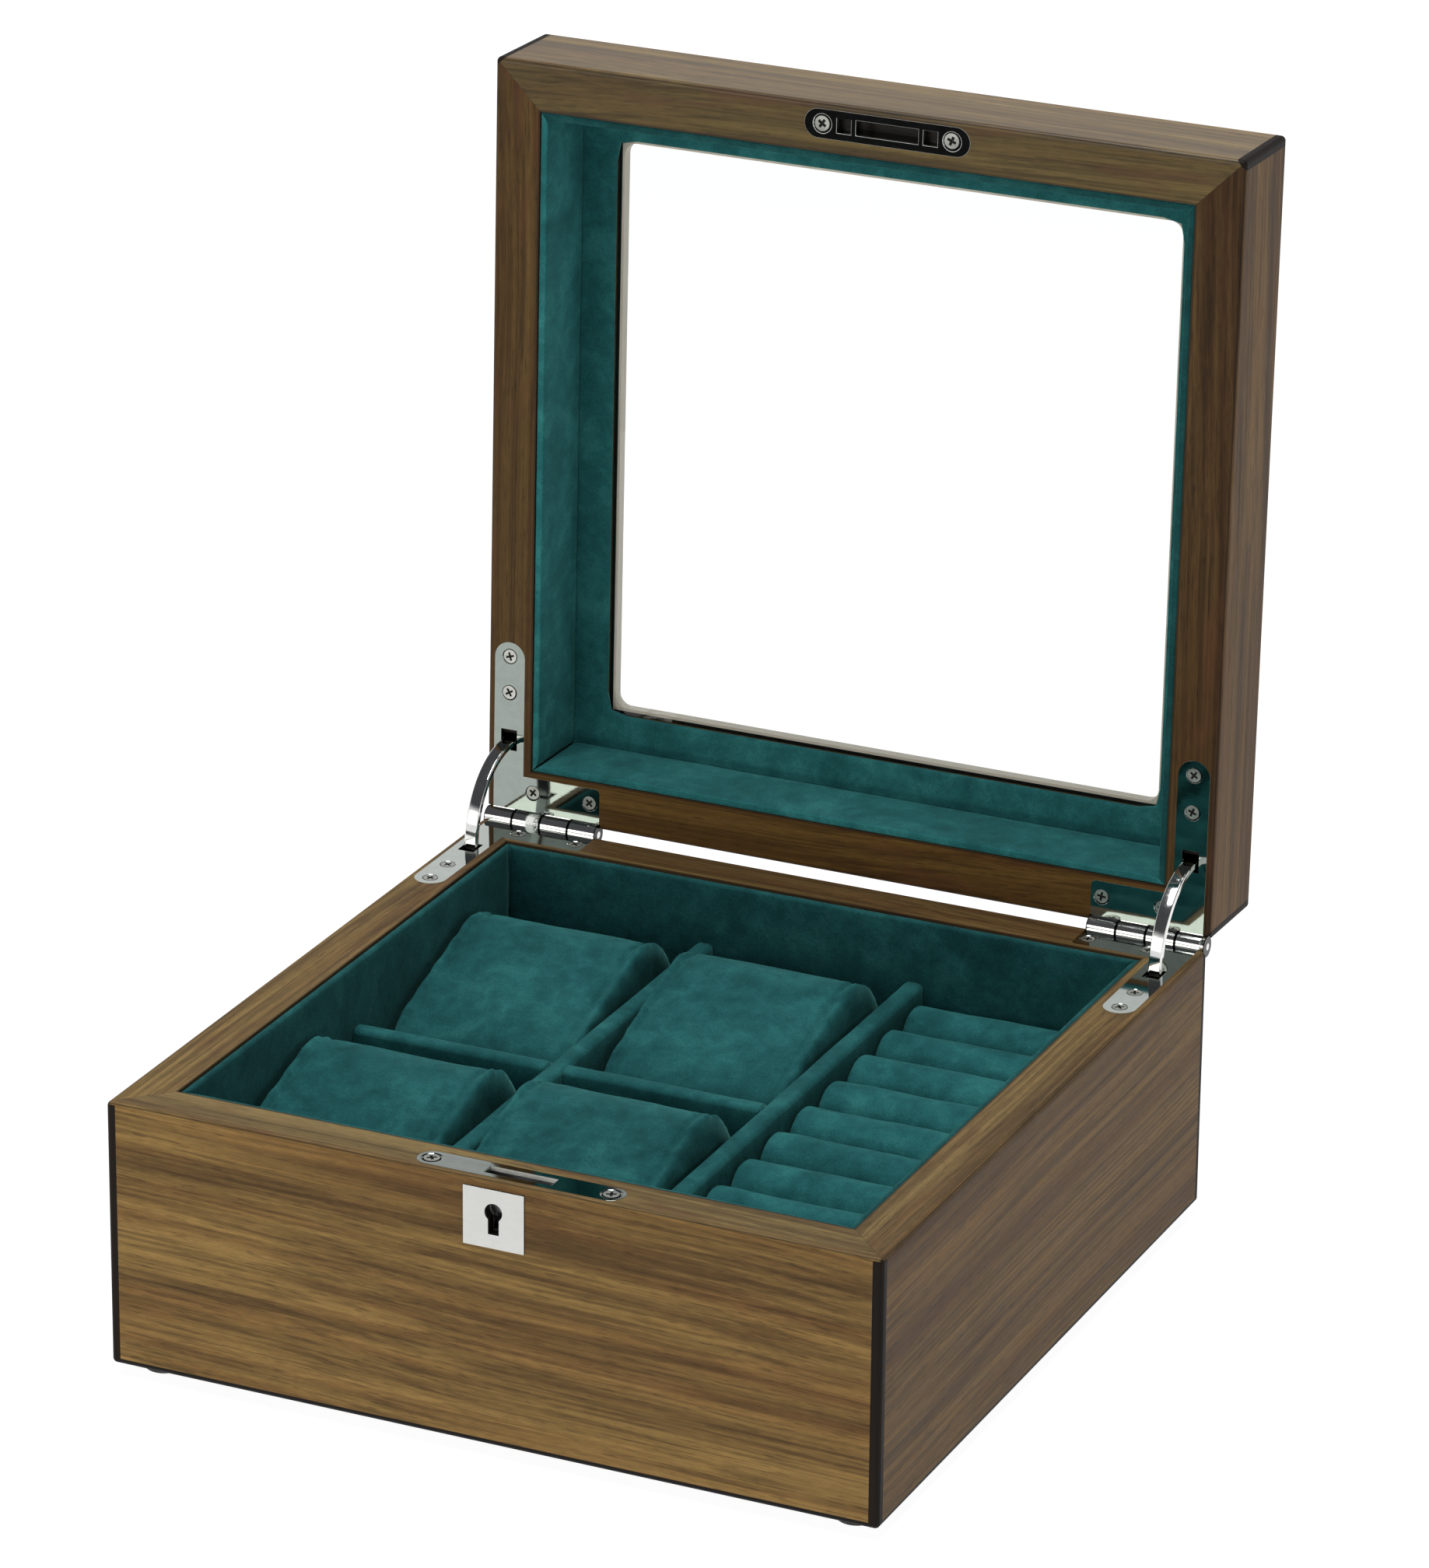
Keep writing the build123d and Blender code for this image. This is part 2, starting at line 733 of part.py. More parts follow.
lid_boards, lid_strips = case_pieces(lid_rim, lid_top, lid_top, lid_cuts())
for side, board in lid_boards.items():
    nodes[f"lid_rail_{side}"] = swung_open(board)
nodes["lid_corner_inlays"] = swung_open(lid_strips)
for side, board in liner(lid_rim + liner_below_rim, retainer_bottom).items():
    nodes[f"lid_liner_{side}"] = swung_open(board)
nodes["lid_top_frame"] = swung_open(lid_top_frame())
nodes["glass_pane"] = swung_open(glass_pane())
nodes["glass_retainer"] = swung_open(glass_retainer())

base_leaves = both_sides(hinge_leaf(rim - leaf_thickness, rim, 0, 1, 0.0))
lid_leaves = both_sides(hinge_leaf(lid_rim, lid_rim + leaf_thickness, 1, -1, running_clearance))
hinge_pins = both_sides(rod_x(hinge_pin_radius, barrel_inner, barrel_outer, hinge_y, hinge_z))
stays = both_sides(stay())
for index, side in enumerate(("right", "left")):
    nodes[f"hinge_base_leaf_{side}"] = base_leaves[index]
    nodes[f"hinge_lid_leaf_{side}"] = swung_open(lid_leaves[index])
    nodes[f"hinge_pin_{side}"] = hinge_pins[index]
    nodes[f"lid_stay_{side}"] = stays[index]
nodes["hinge_base_screws"] = group(hinge_screws(rim, 1, screw))
nodes["hinge_lid_screws"] = swung_open(group(hinge_screws(lid_rim, -1, screw)))

nodes["lock_face_plate"] = lock_face_plate()
nodes["lock_case"] = lock_case()
nodes["lock_cover"] = lock_cover()
nodes["key_post"] = key_post()
nodes["lock_claw"] = lock_claw()
nodes["lock_spring"] = lock_spring()
nodes["lock_screws"] = group(plate_screws(lock_screw_places, rim, 1, screw))
nodes["escutcheon"] = escutcheon()
nodes["strike_plate"] = swung_open(strike_plate())
nodes["strike_screws"] = swung_open(group(plate_screws(strike_screw_places, lid_rim, -1, screw)))

os.makedirs("parts", exist_ok=True)
for name, shape in nodes.items():
    export_step(shape, f"parts/{name}.step")
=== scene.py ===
import json
import math

import bmesh
import bpy
import numpy as np
from mathutils import Matrix, Vector, noise

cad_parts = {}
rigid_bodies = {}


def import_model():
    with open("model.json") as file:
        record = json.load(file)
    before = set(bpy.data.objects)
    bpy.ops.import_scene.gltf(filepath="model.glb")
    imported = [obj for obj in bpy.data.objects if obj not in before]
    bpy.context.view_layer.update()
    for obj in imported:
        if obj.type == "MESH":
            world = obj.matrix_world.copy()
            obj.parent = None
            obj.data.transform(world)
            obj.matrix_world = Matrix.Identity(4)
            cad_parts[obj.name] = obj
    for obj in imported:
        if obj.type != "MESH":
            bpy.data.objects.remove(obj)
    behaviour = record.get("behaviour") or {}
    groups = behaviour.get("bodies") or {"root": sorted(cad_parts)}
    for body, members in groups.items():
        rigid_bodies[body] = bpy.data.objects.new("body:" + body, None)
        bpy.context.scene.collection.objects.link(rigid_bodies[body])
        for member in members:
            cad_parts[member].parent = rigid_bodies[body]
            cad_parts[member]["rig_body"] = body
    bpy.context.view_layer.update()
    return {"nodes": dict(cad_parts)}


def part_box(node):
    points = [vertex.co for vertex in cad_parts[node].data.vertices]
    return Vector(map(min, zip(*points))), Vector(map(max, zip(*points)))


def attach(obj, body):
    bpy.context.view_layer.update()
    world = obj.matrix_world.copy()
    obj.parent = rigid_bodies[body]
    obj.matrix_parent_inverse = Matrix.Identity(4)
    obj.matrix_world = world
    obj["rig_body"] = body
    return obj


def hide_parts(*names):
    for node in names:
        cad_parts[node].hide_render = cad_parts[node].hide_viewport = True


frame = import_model()

# Lengths below are millimetres until they go into a mesh, which is in metres.
MM = 0.001

# ---- levels and places of the box, as the solids have them ----
# from the middle to the outside of the walls, to their inside, and to the liners' faces
HALF = 120.0
INNER = 105.0
ROOM = 102.5
BOTTOM = 3.5
PANEL_TOP = 11.5
FLOOR_TOP = 14.0
RIM = 85.5
LID_RIM = 85.8
LID_TOP = 118.8
RETAINER_BOTTOM = 111.8
FRAME_BOTTOM = 113.3
WINDOW = 90.5
HINGE_Y = 121.6
HINGE_Z = 85.65
OPEN_DEGREES = 91.7

DIVIDER_TOP = 65.3
DIVIDER_THICKNESS = 6.0
MAIN_DIVIDER_X = 33.0
MAIN_DIVIDER_THICKNESS = 6.5
COLUMN_X = -36.375

ROLL_COUNT = 10
ROLL_PITCH = 20.5
ROLL_TOP = 62.5
ROLL_BOTTOM = 42.3
ROLL_X = (36.6, 102.1)
BED_TOP = 42.0

PILLOW_LENGTH = 82.0
PILLOW_THICKNESS = 50.0
PILLOW_CORNER = 22.0
PILLOW_TILT = math.radians(17.5)

# the hinge's barrel: where it starts, from the middle of the box, and the length of a knuckle
BARREL_START = 81.5
KNUCKLE = 9.5

HINGE_POINT = Vector((0.0, HINGE_Y, HINGE_Z)) * MM
SWING_OPEN = (
    Matrix.Translation(HINGE_POINT)
    @ Matrix.Rotation(-math.radians(OPEN_DEGREES), 4, "X")
    @ Matrix.Translation(-HINGE_POINT)
)
SIDES = ("front", "right", "back", "left")


def srgb(r, g, b):
    """A colour given as 0 to 255 sRGB numbers, as linear light."""
    lin = [((c / 255 + 0.055) / 1.055) ** 2.4 if c > 10 else c / 255 / 12.92 for c in (r, g, b)]
    return (*lin, 1.0)


# ---- node materials ----
class Nodes:
    """A node tree while it is being put together."""

    def __init__(self, tree):
        self.tree = tree
        tree.nodes.clear()

    def feed(self, socket, value):
        if isinstance(value, bpy.types.NodeSocket):
            self.tree.links.new(value, socket)
        else:
            socket.default_value = value

    def add(self, kind, inputs=None, **props):
        node = self.tree.nodes.new(kind)
        for key, value in props.items():
            setattr(node, key, value)
        for key, value in (inputs or {}).items():
            self.feed(node.inputs[key], value)
        return node

    def math(self, op, a, b=0.0):
        return self.add("ShaderNodeMath", {0: a, 1: b}, operation=op).outputs[0]

    def ramp01(self, value, low, high):
        """0 at low, 1 at high, smooth between."""
        inputs = {"Value": value, "From Min": low, "From Max": high}
        node = self.add("ShaderNodeMapRange", inputs, interpolation_type="SMOOTHSTEP")
        return node.outputs["Result"]

    def span(self, value, low, high, to_low, to_high):
        """The value between low and high, carried over to between to_low and to_high."""
        inputs = {"Value": value, "From Min": low, "From Max": high}
        inputs |= {"To Min": to_low, "To Max": to_high}
        return self.add("ShaderNodeMapRange", inputs).outputs["Result"]

    def share(self, a, b, part=0.5):
        """One part of value a, and the rest of value b."""
        return self.math("ADD", self.math("MULTIPLY", a, part), self.math("MULTIPLY", b, 1 - part))

    def mix(self, factor, a, b, blend="MIX"):
        """Colour a where the factor is 0, and colour b where it is 1."""
        inputs = {0: factor, 6: a, 7: b}
        return self.add("ShaderNodeMix", inputs, data_type="RGBA", blend_type=blend).outputs[2]

    def stain(self, colour, mask, strength, other):
        """The colour with another one laid over it where the mask is 1."""
        return self.mix(self.math("MULTIPLY", mask, strength), colour, other)

    def times(self, colour, other):
        return self.mix(1.0, colour, other, "MULTIPLY")

    def toned(self, colour, value, low, high, at_low, at_high):
        """The colour made lighter or darker by a factor that follows the value."""
        tone = self.span(value, low, high, at_low, at_high)
        return self.times(colour, self.vector(tone, tone, tone))

    def stops(self, value, stops):
        """A colour ramp through (place, colour) stops."""
        node = self.add("ShaderNodeValToRGB", {0: value})
        ramp = node.color_ramp
        while len(ramp.elements) < len(stops):
            ramp.elements.new(0.5)
        for element, (place, colour) in zip(ramp.elements, stops):
            element.position = place
            element.color = colour
        return node.outputs[0]

    def vector(self, x, y, z):
        return self.add("ShaderNodeCombineXYZ", {0: x, 1: y, 2: z}).outputs[0]

    def stretched(self, parts, sizes):
        """A noise point whose features have the given size along each axis."""
        return self.vector(*[self.math("DIVIDE", part, size) for part, size in zip(parts, sizes)])

    def noise(self, vector, scale=1.0, detail=2.0, rough=0.5, distortion=0.0):
        inputs = {"Vector": vector, "Scale": scale, "Detail": detail}
        inputs |= {"Roughness": rough, "Distortion": distortion}
        return self.add("ShaderNodeTexNoise", inputs).outputs[0]

    def bump(self, height, distance, strength=1.0, normal=None):
        inputs = {"Height": height, "Distance": distance, "Strength": strength}
        if normal is not None:
            inputs["Normal"] = normal
        return self.add("ShaderNodeBump", inputs).outputs[0]

    def parts(self, vector):
        return self.add("ShaderNodeSeparateXYZ", {0: vector}).outputs

    def reach(self, x, y):
        """How far out of the middle of the box a point lies, whichever side it is on."""
        return self.math("MAXIMUM", self.math("ABSOLUTE", x), self.math("ABSOLUTE", y))


class Look(Nodes):
    """A node material while it is being put together."""

    def __init__(self, name):
        self.material = bpy.data.materials.new(name)
        self.material.use_nodes = True
        super().__init__(self.material.node_tree)
        self.output = self.add("ShaderNodeOutputMaterial")
        self.shader = self.add("ShaderNodeBsdfPrincipled")
        self.feed(self.output.inputs[0], self.shader.outputs[0])
        self.object_point = self.add("ShaderNodeTexCoord").outputs["Object"]

    def set(self, **values):
        """Values for the shader's own sockets; an underscore stands for a space."""
        for key, value in values.items():
            self.feed(self.shader.inputs[key.replace("_", " ")], value)

    def point_mm(self, lid=False):
        """The point on the piece in millimetres, for a lid piece as it lies when shut."""
        point = self.object_point
        if lid:
            inputs = {"Vector": point, "Center": HINGE_POINT, "Angle": math.radians(OPEN_DEGREES)}
            turned = self.add("ShaderNodeVectorRotate", inputs, rotation_type="X_AXIS")
            point = turned.outputs[0]
        inputs = {0: point, "Scale": 1000.0}
        return self.add("ShaderNodeVectorMath", inputs, operation="SCALE").outputs[0]


def pocket_shade_mask(look, x, y, z, lid):
    """1 inside a pocket or mortise of a rim, away from every outer face, where the wood gets
    painted shade.
    """
    reach = look.reach(x, y)
    from_outside = look.ramp01(reach, HALF - 0.2, HALF - 0.6)
    from_inside = look.ramp01(reach, INNER + 0.2, INNER + 0.6)
    if lid:
        below = look.ramp01(z, LID_RIM + 0.15, LID_RIM + 0.5)
        far = look.ramp01(z, LID_TOP - 0.5, LID_TOP - 1.0)
    else:
        below = look.ramp01(z, RIM - 0.15, RIM - 0.5)
        far = look.ramp01(z, BOTTOM + 0.5, BOTTOM + 1.0)
    sides = look.math("MULTIPLY", from_outside, from_inside)
    return look.math("MULTIPLY", sides, look.math("MULTIPLY", below, far))


# What the veneer's colour is multiplied by. Front and back share a tone, and so do both sides;
# the sides' darker, greyer tone is painted shade and sheen, and the lid's front rail is greener
# for a painted sheen. The rims have theirs on top of that, and only within a millimetre of the
# face: painted light and shade for each side.
FRONT_TONE = (0.71, 0.695, 0.595, 1.0)
SHADED_SIDE_TONE = (0.55, 0.485, 0.37, 1.0)
LID_SHADED_SIDE_TONE = (0.56, 0.485, 0.37, 1.0)
LID_FRONT_SHEEN_TONE = (0.70, 0.72, 0.55, 1.0)
BASE_RIM_LIGHT_TONES = {
    "front": (1.05, 1.18, 1.38, 1.0),
    "back": (0.92, 0.94, 1.04, 1.0),
    "left": (1.59, 1.85, 2.1, 1.0),
    "right": (1.78, 2.16, 2.84, 1.0),
}
LID_RIM_LIGHT_TONES = {
    "front": (0.60, 0.63, 0.64, 1.0),
    "back": (0.57, 0.47, 0.40, 1.0),
    "left": (0.59, 0.61, 0.63, 1.0),
    "right": (0.51, 0.52, 0.62, 1.0),
}
RIM_PATCH = srgb(84, 52, 34)
DARK_GRAIN = srgb(60, 44, 28)
PALE_GRAIN = srgb(150, 124, 80)
WARM_GRAIN = srgb(122, 86, 52)
# the colour of the pores and the mitre joints, and of the painted shadow where a rim meets its
# velvet
PORE_AND_SHADE = srgb(40, 29, 19)
# painted shade in pockets, mortises and on the ledge round the glass
POCKET_SHADE = srgb(9, 7, 6)
LOWER_EDGE_BLACK = srgb(12, 10, 8)
# the pale edge of the window: unstained wood with a painted glare of the white studio
PALE_WOOD_AND_GLARE = srgb(186, 180, 168)
# the board round the glass gets painted shade inwards of this, but for the edge of its window
LEDGE = 92.6
UNTONED = (1.0, 1.0, 1.0, 1.0)
THIN_COAT = 0.02
LID_FRONT_COAT = 0.46
# each layer of the grain: how long and how wide its features are, and its noise's detail and
# roughness
GRAIN = {
    "broad": (800.0, 19.0, 1.0, 0.5),
    "bands": (1200.0, 4.6, 3.0, 0.55),
    "lines": (760.0, 1.35, 3.0, 0.55),
    "warmth": (420.0, 8.0, 2.0, 0.5),
    "streaks": (130.0, 0.9, 3.0, 0.65),
    "fibres": (26.0, 0.42, 2.0, 0.65),
    "ticks": (7.0, 0.5, 1.0, 0.5),
}
FIGURE = [
    (0.41, srgb(91, 69, 42)),
    (0.46, srgb(110, 86, 53)),
    (0.53, srgb(126, 101, 62)),
    (0.59, srgb(142, 115, 72)),
]


def walnut(name, along, lid, seed, tone=FRONT_TONE, rim_light_tone=UNTONED, coat=THIN_COAT):
    """Satin walnut veneer with straight fine grain along X or Y, or along each side of a frame."""
    look = Look(name)
    x, y, z = look.parts(look.point_mm(lid))
    x_out, y_out = look.math("ABSOLUTE", x), look.math("ABSOLUTE", y)
    u, v = (y, x) if along == "Y" else (x, y)
    if along == "SIDES":
        at_ends = look.math("GREATER_THAN", x_out, y_out)
        swap = look.math("MULTIPLY", at_ends, look.math("SUBTRACT", y, x))
        u, v = look.math("ADD", x, swap), look.math("SUBTRACT", y, swap)
    shift = 37.0 * seed
    u_off = look.math("ADD", u, shift)
    v_off = look.math("ADD", v, 1.7 * shift)
    # the grain lines lean a little and wander slowly along their length
    slow = look.noise(look.stretched((u_off, v_off, z), (190.0, 110.0, 90.0)), 1.0, 1.0)
    wander = look.span(slow, 0.3, 0.7, -2.2, 2.2)
    lean = look.math("MULTIPLY", u, 0.022 if seed % 2 else -0.018)
    drift = look.math("ADD", wander, lean)
    z_grain = look.math("ADD", z, drift)
    v_grain = look.math("ADD", v_off, drift)

    def grain(layer):
        length, width, detail, rough = GRAIN[layer]
        point = look.stretched((u_off, v_grain, z_grain), (length, width, width))
        return look.noise(point, 1.0, detail, rough)

    lines = grain("lines")
    fibres = grain("fibres")
    mottle = look.noise(look.stretched((u_off, v_off, z), (4.5, 1.6, 1.6)), 1.0, 3.0, 0.65)
    colour = look.stops(look.share(grain("broad"), grain("bands")), FIGURE)
    colour = look.stain(colour, look.ramp01(grain("warmth"), 0.44, 0.62), 0.34, WARM_GRAIN)
    colour = look.stain(colour, look.ramp01(lines, 0.50, 0.62), 0.42, DARK_GRAIN)
    colour = look.stain(colour, look.ramp01(lines, 0.44, 0.34), 0.24, PALE_GRAIN)
    colour = look.toned(colour, grain("streaks"), 0.30, 0.70, 1.14, 0.83)
    colour = look.toned(colour, fibres, 0.25, 0.75, 0.84, 1.16)
    colour = look.toned(colour, mottle, 0.25, 0.75, 0.87, 1.13)
    pore = look.ramp01(grain("ticks"), 0.60, 0.70)
    colour = look.stain(colour, pore, 0.34, PORE_AND_SHADE)
    colour = look.times(colour, tone)

    # the rims get painted light and shade from a tone of their own, and have redder patches
    if lid:
        rim_face = look.ramp01(z, LID_RIM + 0.9, LID_RIM + 0.5)
    else:
        rim_face = look.ramp01(z, RIM - 0.9, RIM - 0.5)
    rim_colour = look.times(colour, rim_light_tone)
    patch = look.noise(look.stretched((u_off, v_off, z), (34.0, 7.0, 7.0)), 1.0, 2.0)
    rim_colour = look.stain(rim_colour, look.ramp01(patch, 0.54, 0.70), 0.4, RIM_PATCH)
    colour = look.mix(rim_face, colour, rim_colour)
    # painted shade in pockets and mortises
    colour = look.stain(colour, pocket_shade_mask(look, x, y, z, lid), 0.97, POCKET_SHADE)

    reach = look.reach(x, y)
    if along != "SIDES":
        # painted shadow along the line where the rim meets its velvet
        colour = look.stain(colour, look.ramp01(reach, INNER + 0.75, INNER + 0.45), 0.7, PORE_AND_SHADE)

    # the joint line of the mitred corners
    from_mitre = look.math("ABSOLUTE", look.math("SUBTRACT", x_out, y_out))
    colour = look.stain(colour, look.ramp01(from_mitre, 0.30, 0.05), 0.35, PORE_AND_SHADE)
    if lid:
        # the board round the glass gets painted shade on its ledge, and its edge is pale: unstained
        # wood with a painted glare of the white studio
        colour = look.mix(look.ramp01(reach, LEDGE, LEDGE - 0.2), colour, POCKET_SHADE)
        window_edge = look.ramp01(reach, WINDOW + 0.95, WINDOW + 0.75)
        pale = look.toned(PALE_WOOD_AND_GLARE, fibres, 0.25, 0.75, 0.88, 1.1)
        colour = look.mix(window_edge, colour, pale)
    else:
        # the lowest two millimetres go near black
        colour = look.mix(look.ramp01(z, BOTTOM + 2.1, BOTTOM + 1.7), colour, LOWER_EDGE_BLACK)

    look.set(Base_Color=colour, Roughness=look.span(fibres, 0.3, 0.7, 0.46, 0.6))
    look.set(Specular_IOR_Level=0.12, Coat_Weight=coat, Coat_Roughness=0.3)
    height = look.math("SUBTRACT", look.math("MULTIPLY", fibres, 0.5), pore)
    look.set(Normal=look.bump(height, 0.00005, 0.45))
    return look.material


NAP_COLOURS = [(0.34, srgb(22, 68, 70)), (0.50, srgb(30, 83, 85)), (0.66, srgb(41, 100, 100))]


def velvet(name, lid=False, tone=1.0):
    """Short-pile teal velvet: mottled where the pile lies differently, pale at a glancing angle."""
    look = Look(name)
    point = look.point_mm(lid)
    nap = look.noise(point, 1 / 23.0, 3.0, 0.6, 0.8)
    rubbed = look.noise(point, 1 / 5.5, 2.0, 0.6, 0.4)
    pile = look.noise(point, 1 / 0.55, 2.0, 0.7)
    colour = look.stops(look.share(nap, rubbed, 0.62), NAP_COLOURS)
    colour = look.toned(colour, pile, 0.25, 0.75, 0.74 * tone, 1.26 * tone)
    look.set(Base_Color=colour, Roughness=0.92, Specular_IOR_Level=0.1)
    look.set(Sheen_Weight=0.5, Sheen_Roughness=0.34, Sheen_Tint=srgb(112, 182, 174))
    fine = look.bump(pile, 0.00022, 0.55)
    look.set(Normal=look.bump(rubbed, 0.0005, 0.35, fine))
    return look.material


BARREL_HIGHLIGHT = (0.86, 0.87, 0.85, 1.0)
KNUCKLE_SHADE = (0.01, 0.01, 0.01, 1.0)


def barrel_colour(look, point, colour):
    """The barrel of a hinge gets a painted highlight, brighter than its leaf, and painted shade
    darkens the joints of its knuckles.
    """
    x, y, z = look.parts(point)
    inputs = {0: look.vector(0.0, y, z), 1: (0.0, HINGE_Y, HINGE_Z)}
    from_axis = look.add("ShaderNodeVectorMath", inputs, operation="DISTANCE")
    on_barrel = look.ramp01(from_axis.outputs["Value"], 3.5, 3.3)
    along = look.math("SUBTRACT", look.math("ABSOLUTE", x), BARREL_START)
    from_joint = look.math("PINGPONG", along, KNUCKLE / 2)
    joint = look.ramp01(from_joint, 0.55, 0.3)
    barrel = look.mix(joint, BARREL_HIGHLIGHT, KNUCKLE_SHADE)
    return look.mix(on_barrel, colour, barrel)


def metal(name, colour, roughness, spread, wear=0.0, barrel=False, metallic=1.0):
    """Plated metal with faint wiping marks, and duller specks where it is worn."""
    look = Look(name)
    point = look.point_mm()
    marks = look.noise(look.stretched(look.parts(point), (6.0, 0.5, 0.5)), 1.0, 2.0)
    cloud = look.noise(point, 1 / 3.5, 2.0, 0.6)
    both = look.share(marks, cloud)
    darker = tuple(c * (1 - wear) for c in colour)
    plating = look.mix(look.ramp01(cloud, 0.35, 0.62), (*darker, 1.0), (*colour, 1.0))
    if barrel:
        plating = barrel_colour(look, point, plating)
    look.set(Base_Color=plating, Metallic=metallic)
    look.set(Roughness=look.span(both, 0.3, 0.7, roughness, roughness + spread))
    look.set(Normal=look.bump(marks, 0.00001, 0.25))
    return look.material


def dark_strip(name):
    """The near-black wood of the corner strips, with its grain upright."""
    look = Look(name)
    streak = look.noise(look.stretched(look.parts(look.point_mm()), (1.2, 1.2, 30.0)), 1.0, 3.0)
    colour = look.stops(streak, [(0.35, srgb(11, 8, 5)), (0.65, srgb(25, 17, 11))])
    look.set(Base_Color=colour, Roughness=look.span(streak, 0.3, 0.7, 0.5, 0.62))
    look.set(Specular_IOR_Level=0.12, Normal=look.bump(streak, 0.00003, 0.4))
    return look.material


def rubber(name):
    look = Look(name)
    point = look.point_mm()
    grain = look.noise(point, 1 / 0.5, 2.0)
    cloud = look.noise(point, 1 / 4.0, 2.0)
    look.set(Base_Color=look.stops(cloud, [(0.3, srgb(22, 22, 23)), (0.7, srgb(38, 38, 39))]))
    look.set(Roughness=look.span(grain, 0.3, 0.7, 0.68, 0.88))
    look.set(Normal=look.bump(grain, 0.00008, 0.4))
    return look.material


def shade_and_polish(name):
    """Dull dark metal: painted shade in a screw's recess and round a plate's edges, with old
    polish.
    """
    look = Look(name)
    speck = look.noise(look.point_mm(), 1 / 0.3, 2.0, 0.6)
    look.set(Base_Color=look.stops(speck, [(0.35, srgb(10, 10, 10)), (0.65, srgb(44, 42, 38))]))
    look.set(Metallic=0.4, Roughness=look.span(speck, 0.3, 0.7, 0.45, 0.7))
    return look.material


def clear_glass(name):
    """Clear glass: what lies behind shows through, and it reflects more at a glancing angle."""
    look = Look(name)
    film = look.noise(look.point_mm(True), 1 / 40.0, 3.0, 0.6)
    clear = look.add("ShaderNodeBsdfTransparent", {0: (0.992, 0.998, 0.996, 1.0)})
    # as much as glass reflects, and the same on its way in and out
    facing = look.add("ShaderNodeLayerWeight", {"Blend": 0.5}).outputs["Facing"]
    glance = look.math("ADD", look.math("MULTIPLY", look.math("POWER", facing, 5.0), 0.9), 0.035)
    smooth = look.span(film, 0.3, 0.7, 0.01, 0.03)
    glossy = look.add("ShaderNodeBsdfGlossy", {"Color": (1, 1, 1, 1), "Roughness": smooth})
    mixed = look.add("ShaderNodeMixShader", {0: glance, 1: clear.outputs[0], 2: glossy.outputs[0]})
    look.feed(look.output.inputs[0], mixed.outputs[0])
    look.tree.nodes.remove(look.shader)
    return look.material


def dress(obj, *materials):
    """The first material goes on every face; the others wait in their slots."""
    obj.data.materials.clear()
    for material in materials:
        obj.data.materials.append(material)
    for polygon in obj.data.polygons:
        polygon.material_index = 0


nodes = frame["nodes"]
body_of_node = {name: obj["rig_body"] for name, obj in nodes.items()}

# painted light and shade: a darker velvet for the base's walls, and a lighter one for the rolls and
# for the lid's left and back walls
base_velvet = velvet("velvet_base")
shaded_wall_velvet = velvet("velvet_walls_shaded", tone=0.76)
lit_roll_velvet = velvet("velvet_rolls_lit", tone=1.2)
lid_velvet = velvet("velvet_lid", True)
lit_lid_liner_velvet = velvet("velvet_lid_walls_lit", True, 1.26)
lid_shaded_velvet = velvet("velvet_lid_shaded", True, 0.55)
# the same chrome is given a different brightness per part, as painted reflection: darker on the lid
# leaves and the plates, brighter on the stays and pins
leaf = {"roughness": 0.03, "spread": 0.05, "wear": 0.06}
dull = {"spread": 0.1, "wear": 0.1}
plate_chrome = metal("chrome_plates", (0.34, 0.375, 0.35), **leaf)
lid_leaf_chrome = metal("chrome_lid_leaves", (0.30, 0.335, 0.31), **leaf, barrel=True)
base_leaf_chrome = metal("chrome_base_leaves", (0.50, 0.54, 0.51), **leaf, barrel=True)
bright_chrome = metal("chrome_bright", (0.80, 0.81, 0.79), 0.05, 0.06, 0.08)
screw_chrome = metal("chrome_screws", (0.62, 0.63, 0.58), 0.30, 0.12, 0.2)
claw_nickel = metal("nickel_claw", (0.7, 0.7, 0.68), 0.34, **dull)
# painted highlight for the rear edge of the claw's slot: pale and half diffuse
slot_highlight_nickel = metal("nickel_slot_highlight", (0.9, 0.89, 0.84), 0.4, **dull, metallic=0.25)
# painted highlight for the strike plate's eased edges: pale and half diffuse
edge_highlight_chrome = metal("chrome_edge_highlight", (0.42, 0.43, 0.42), 0.3, **dull, metallic=0.5)
satin = metal("plate_satin", (0.61, 0.615, 0.59), 0.22, 0.08, 0.03)
steel = metal("steel_plain", (0.42, 0.42, 0.43), 0.32, 0.12, 0.2)
# painted shade in recesses and round edges, with old polish
recess_shade_and_polish = shade_and_polish("screw_recess_shade")

for number, side in enumerate(SIDES):
    along = "X" if side in ("front", "back") else "Y"
    # painted shade and sheen: both sides take a darker, greyer tone than front and back
    tone = FRONT_TONE if along == "X" else SHADED_SIDE_TONE
    wall = walnut(f"walnut_base_{side}", along, False, number + 1, tone, BASE_RIM_LIGHT_TONES[side])
    dress(nodes[f"base_wall_{side}"], wall)
    tone = LID_FRONT_SHEEN_TONE if along == "X" else LID_SHADED_SIDE_TONE
    coat = LID_FRONT_COAT if side == "front" else THIN_COAT
    rail = walnut(f"walnut_lid_{side}", along, True, number + 7, tone, LID_RIM_LIGHT_TONES[side], coat)
    dress(nodes[f"lid_rail_{side}"], rail)
dress(nodes["lid_top_frame"], walnut("walnut_top_frame", "SIDES", True, 13))
dress(nodes["bottom_panel"], walnut("walnut_bottom", "X", False, 17))
strip_wood = dark_strip("strip_wood")
dress(nodes["base_corner_inlays"], strip_wood)
dress(nodes["lid_corner_inlays"], strip_wood)
dress(nodes["feet"], rubber("rubber_feet"))
dress(nodes["glass_pane"], clear_glass("glass_clear"))
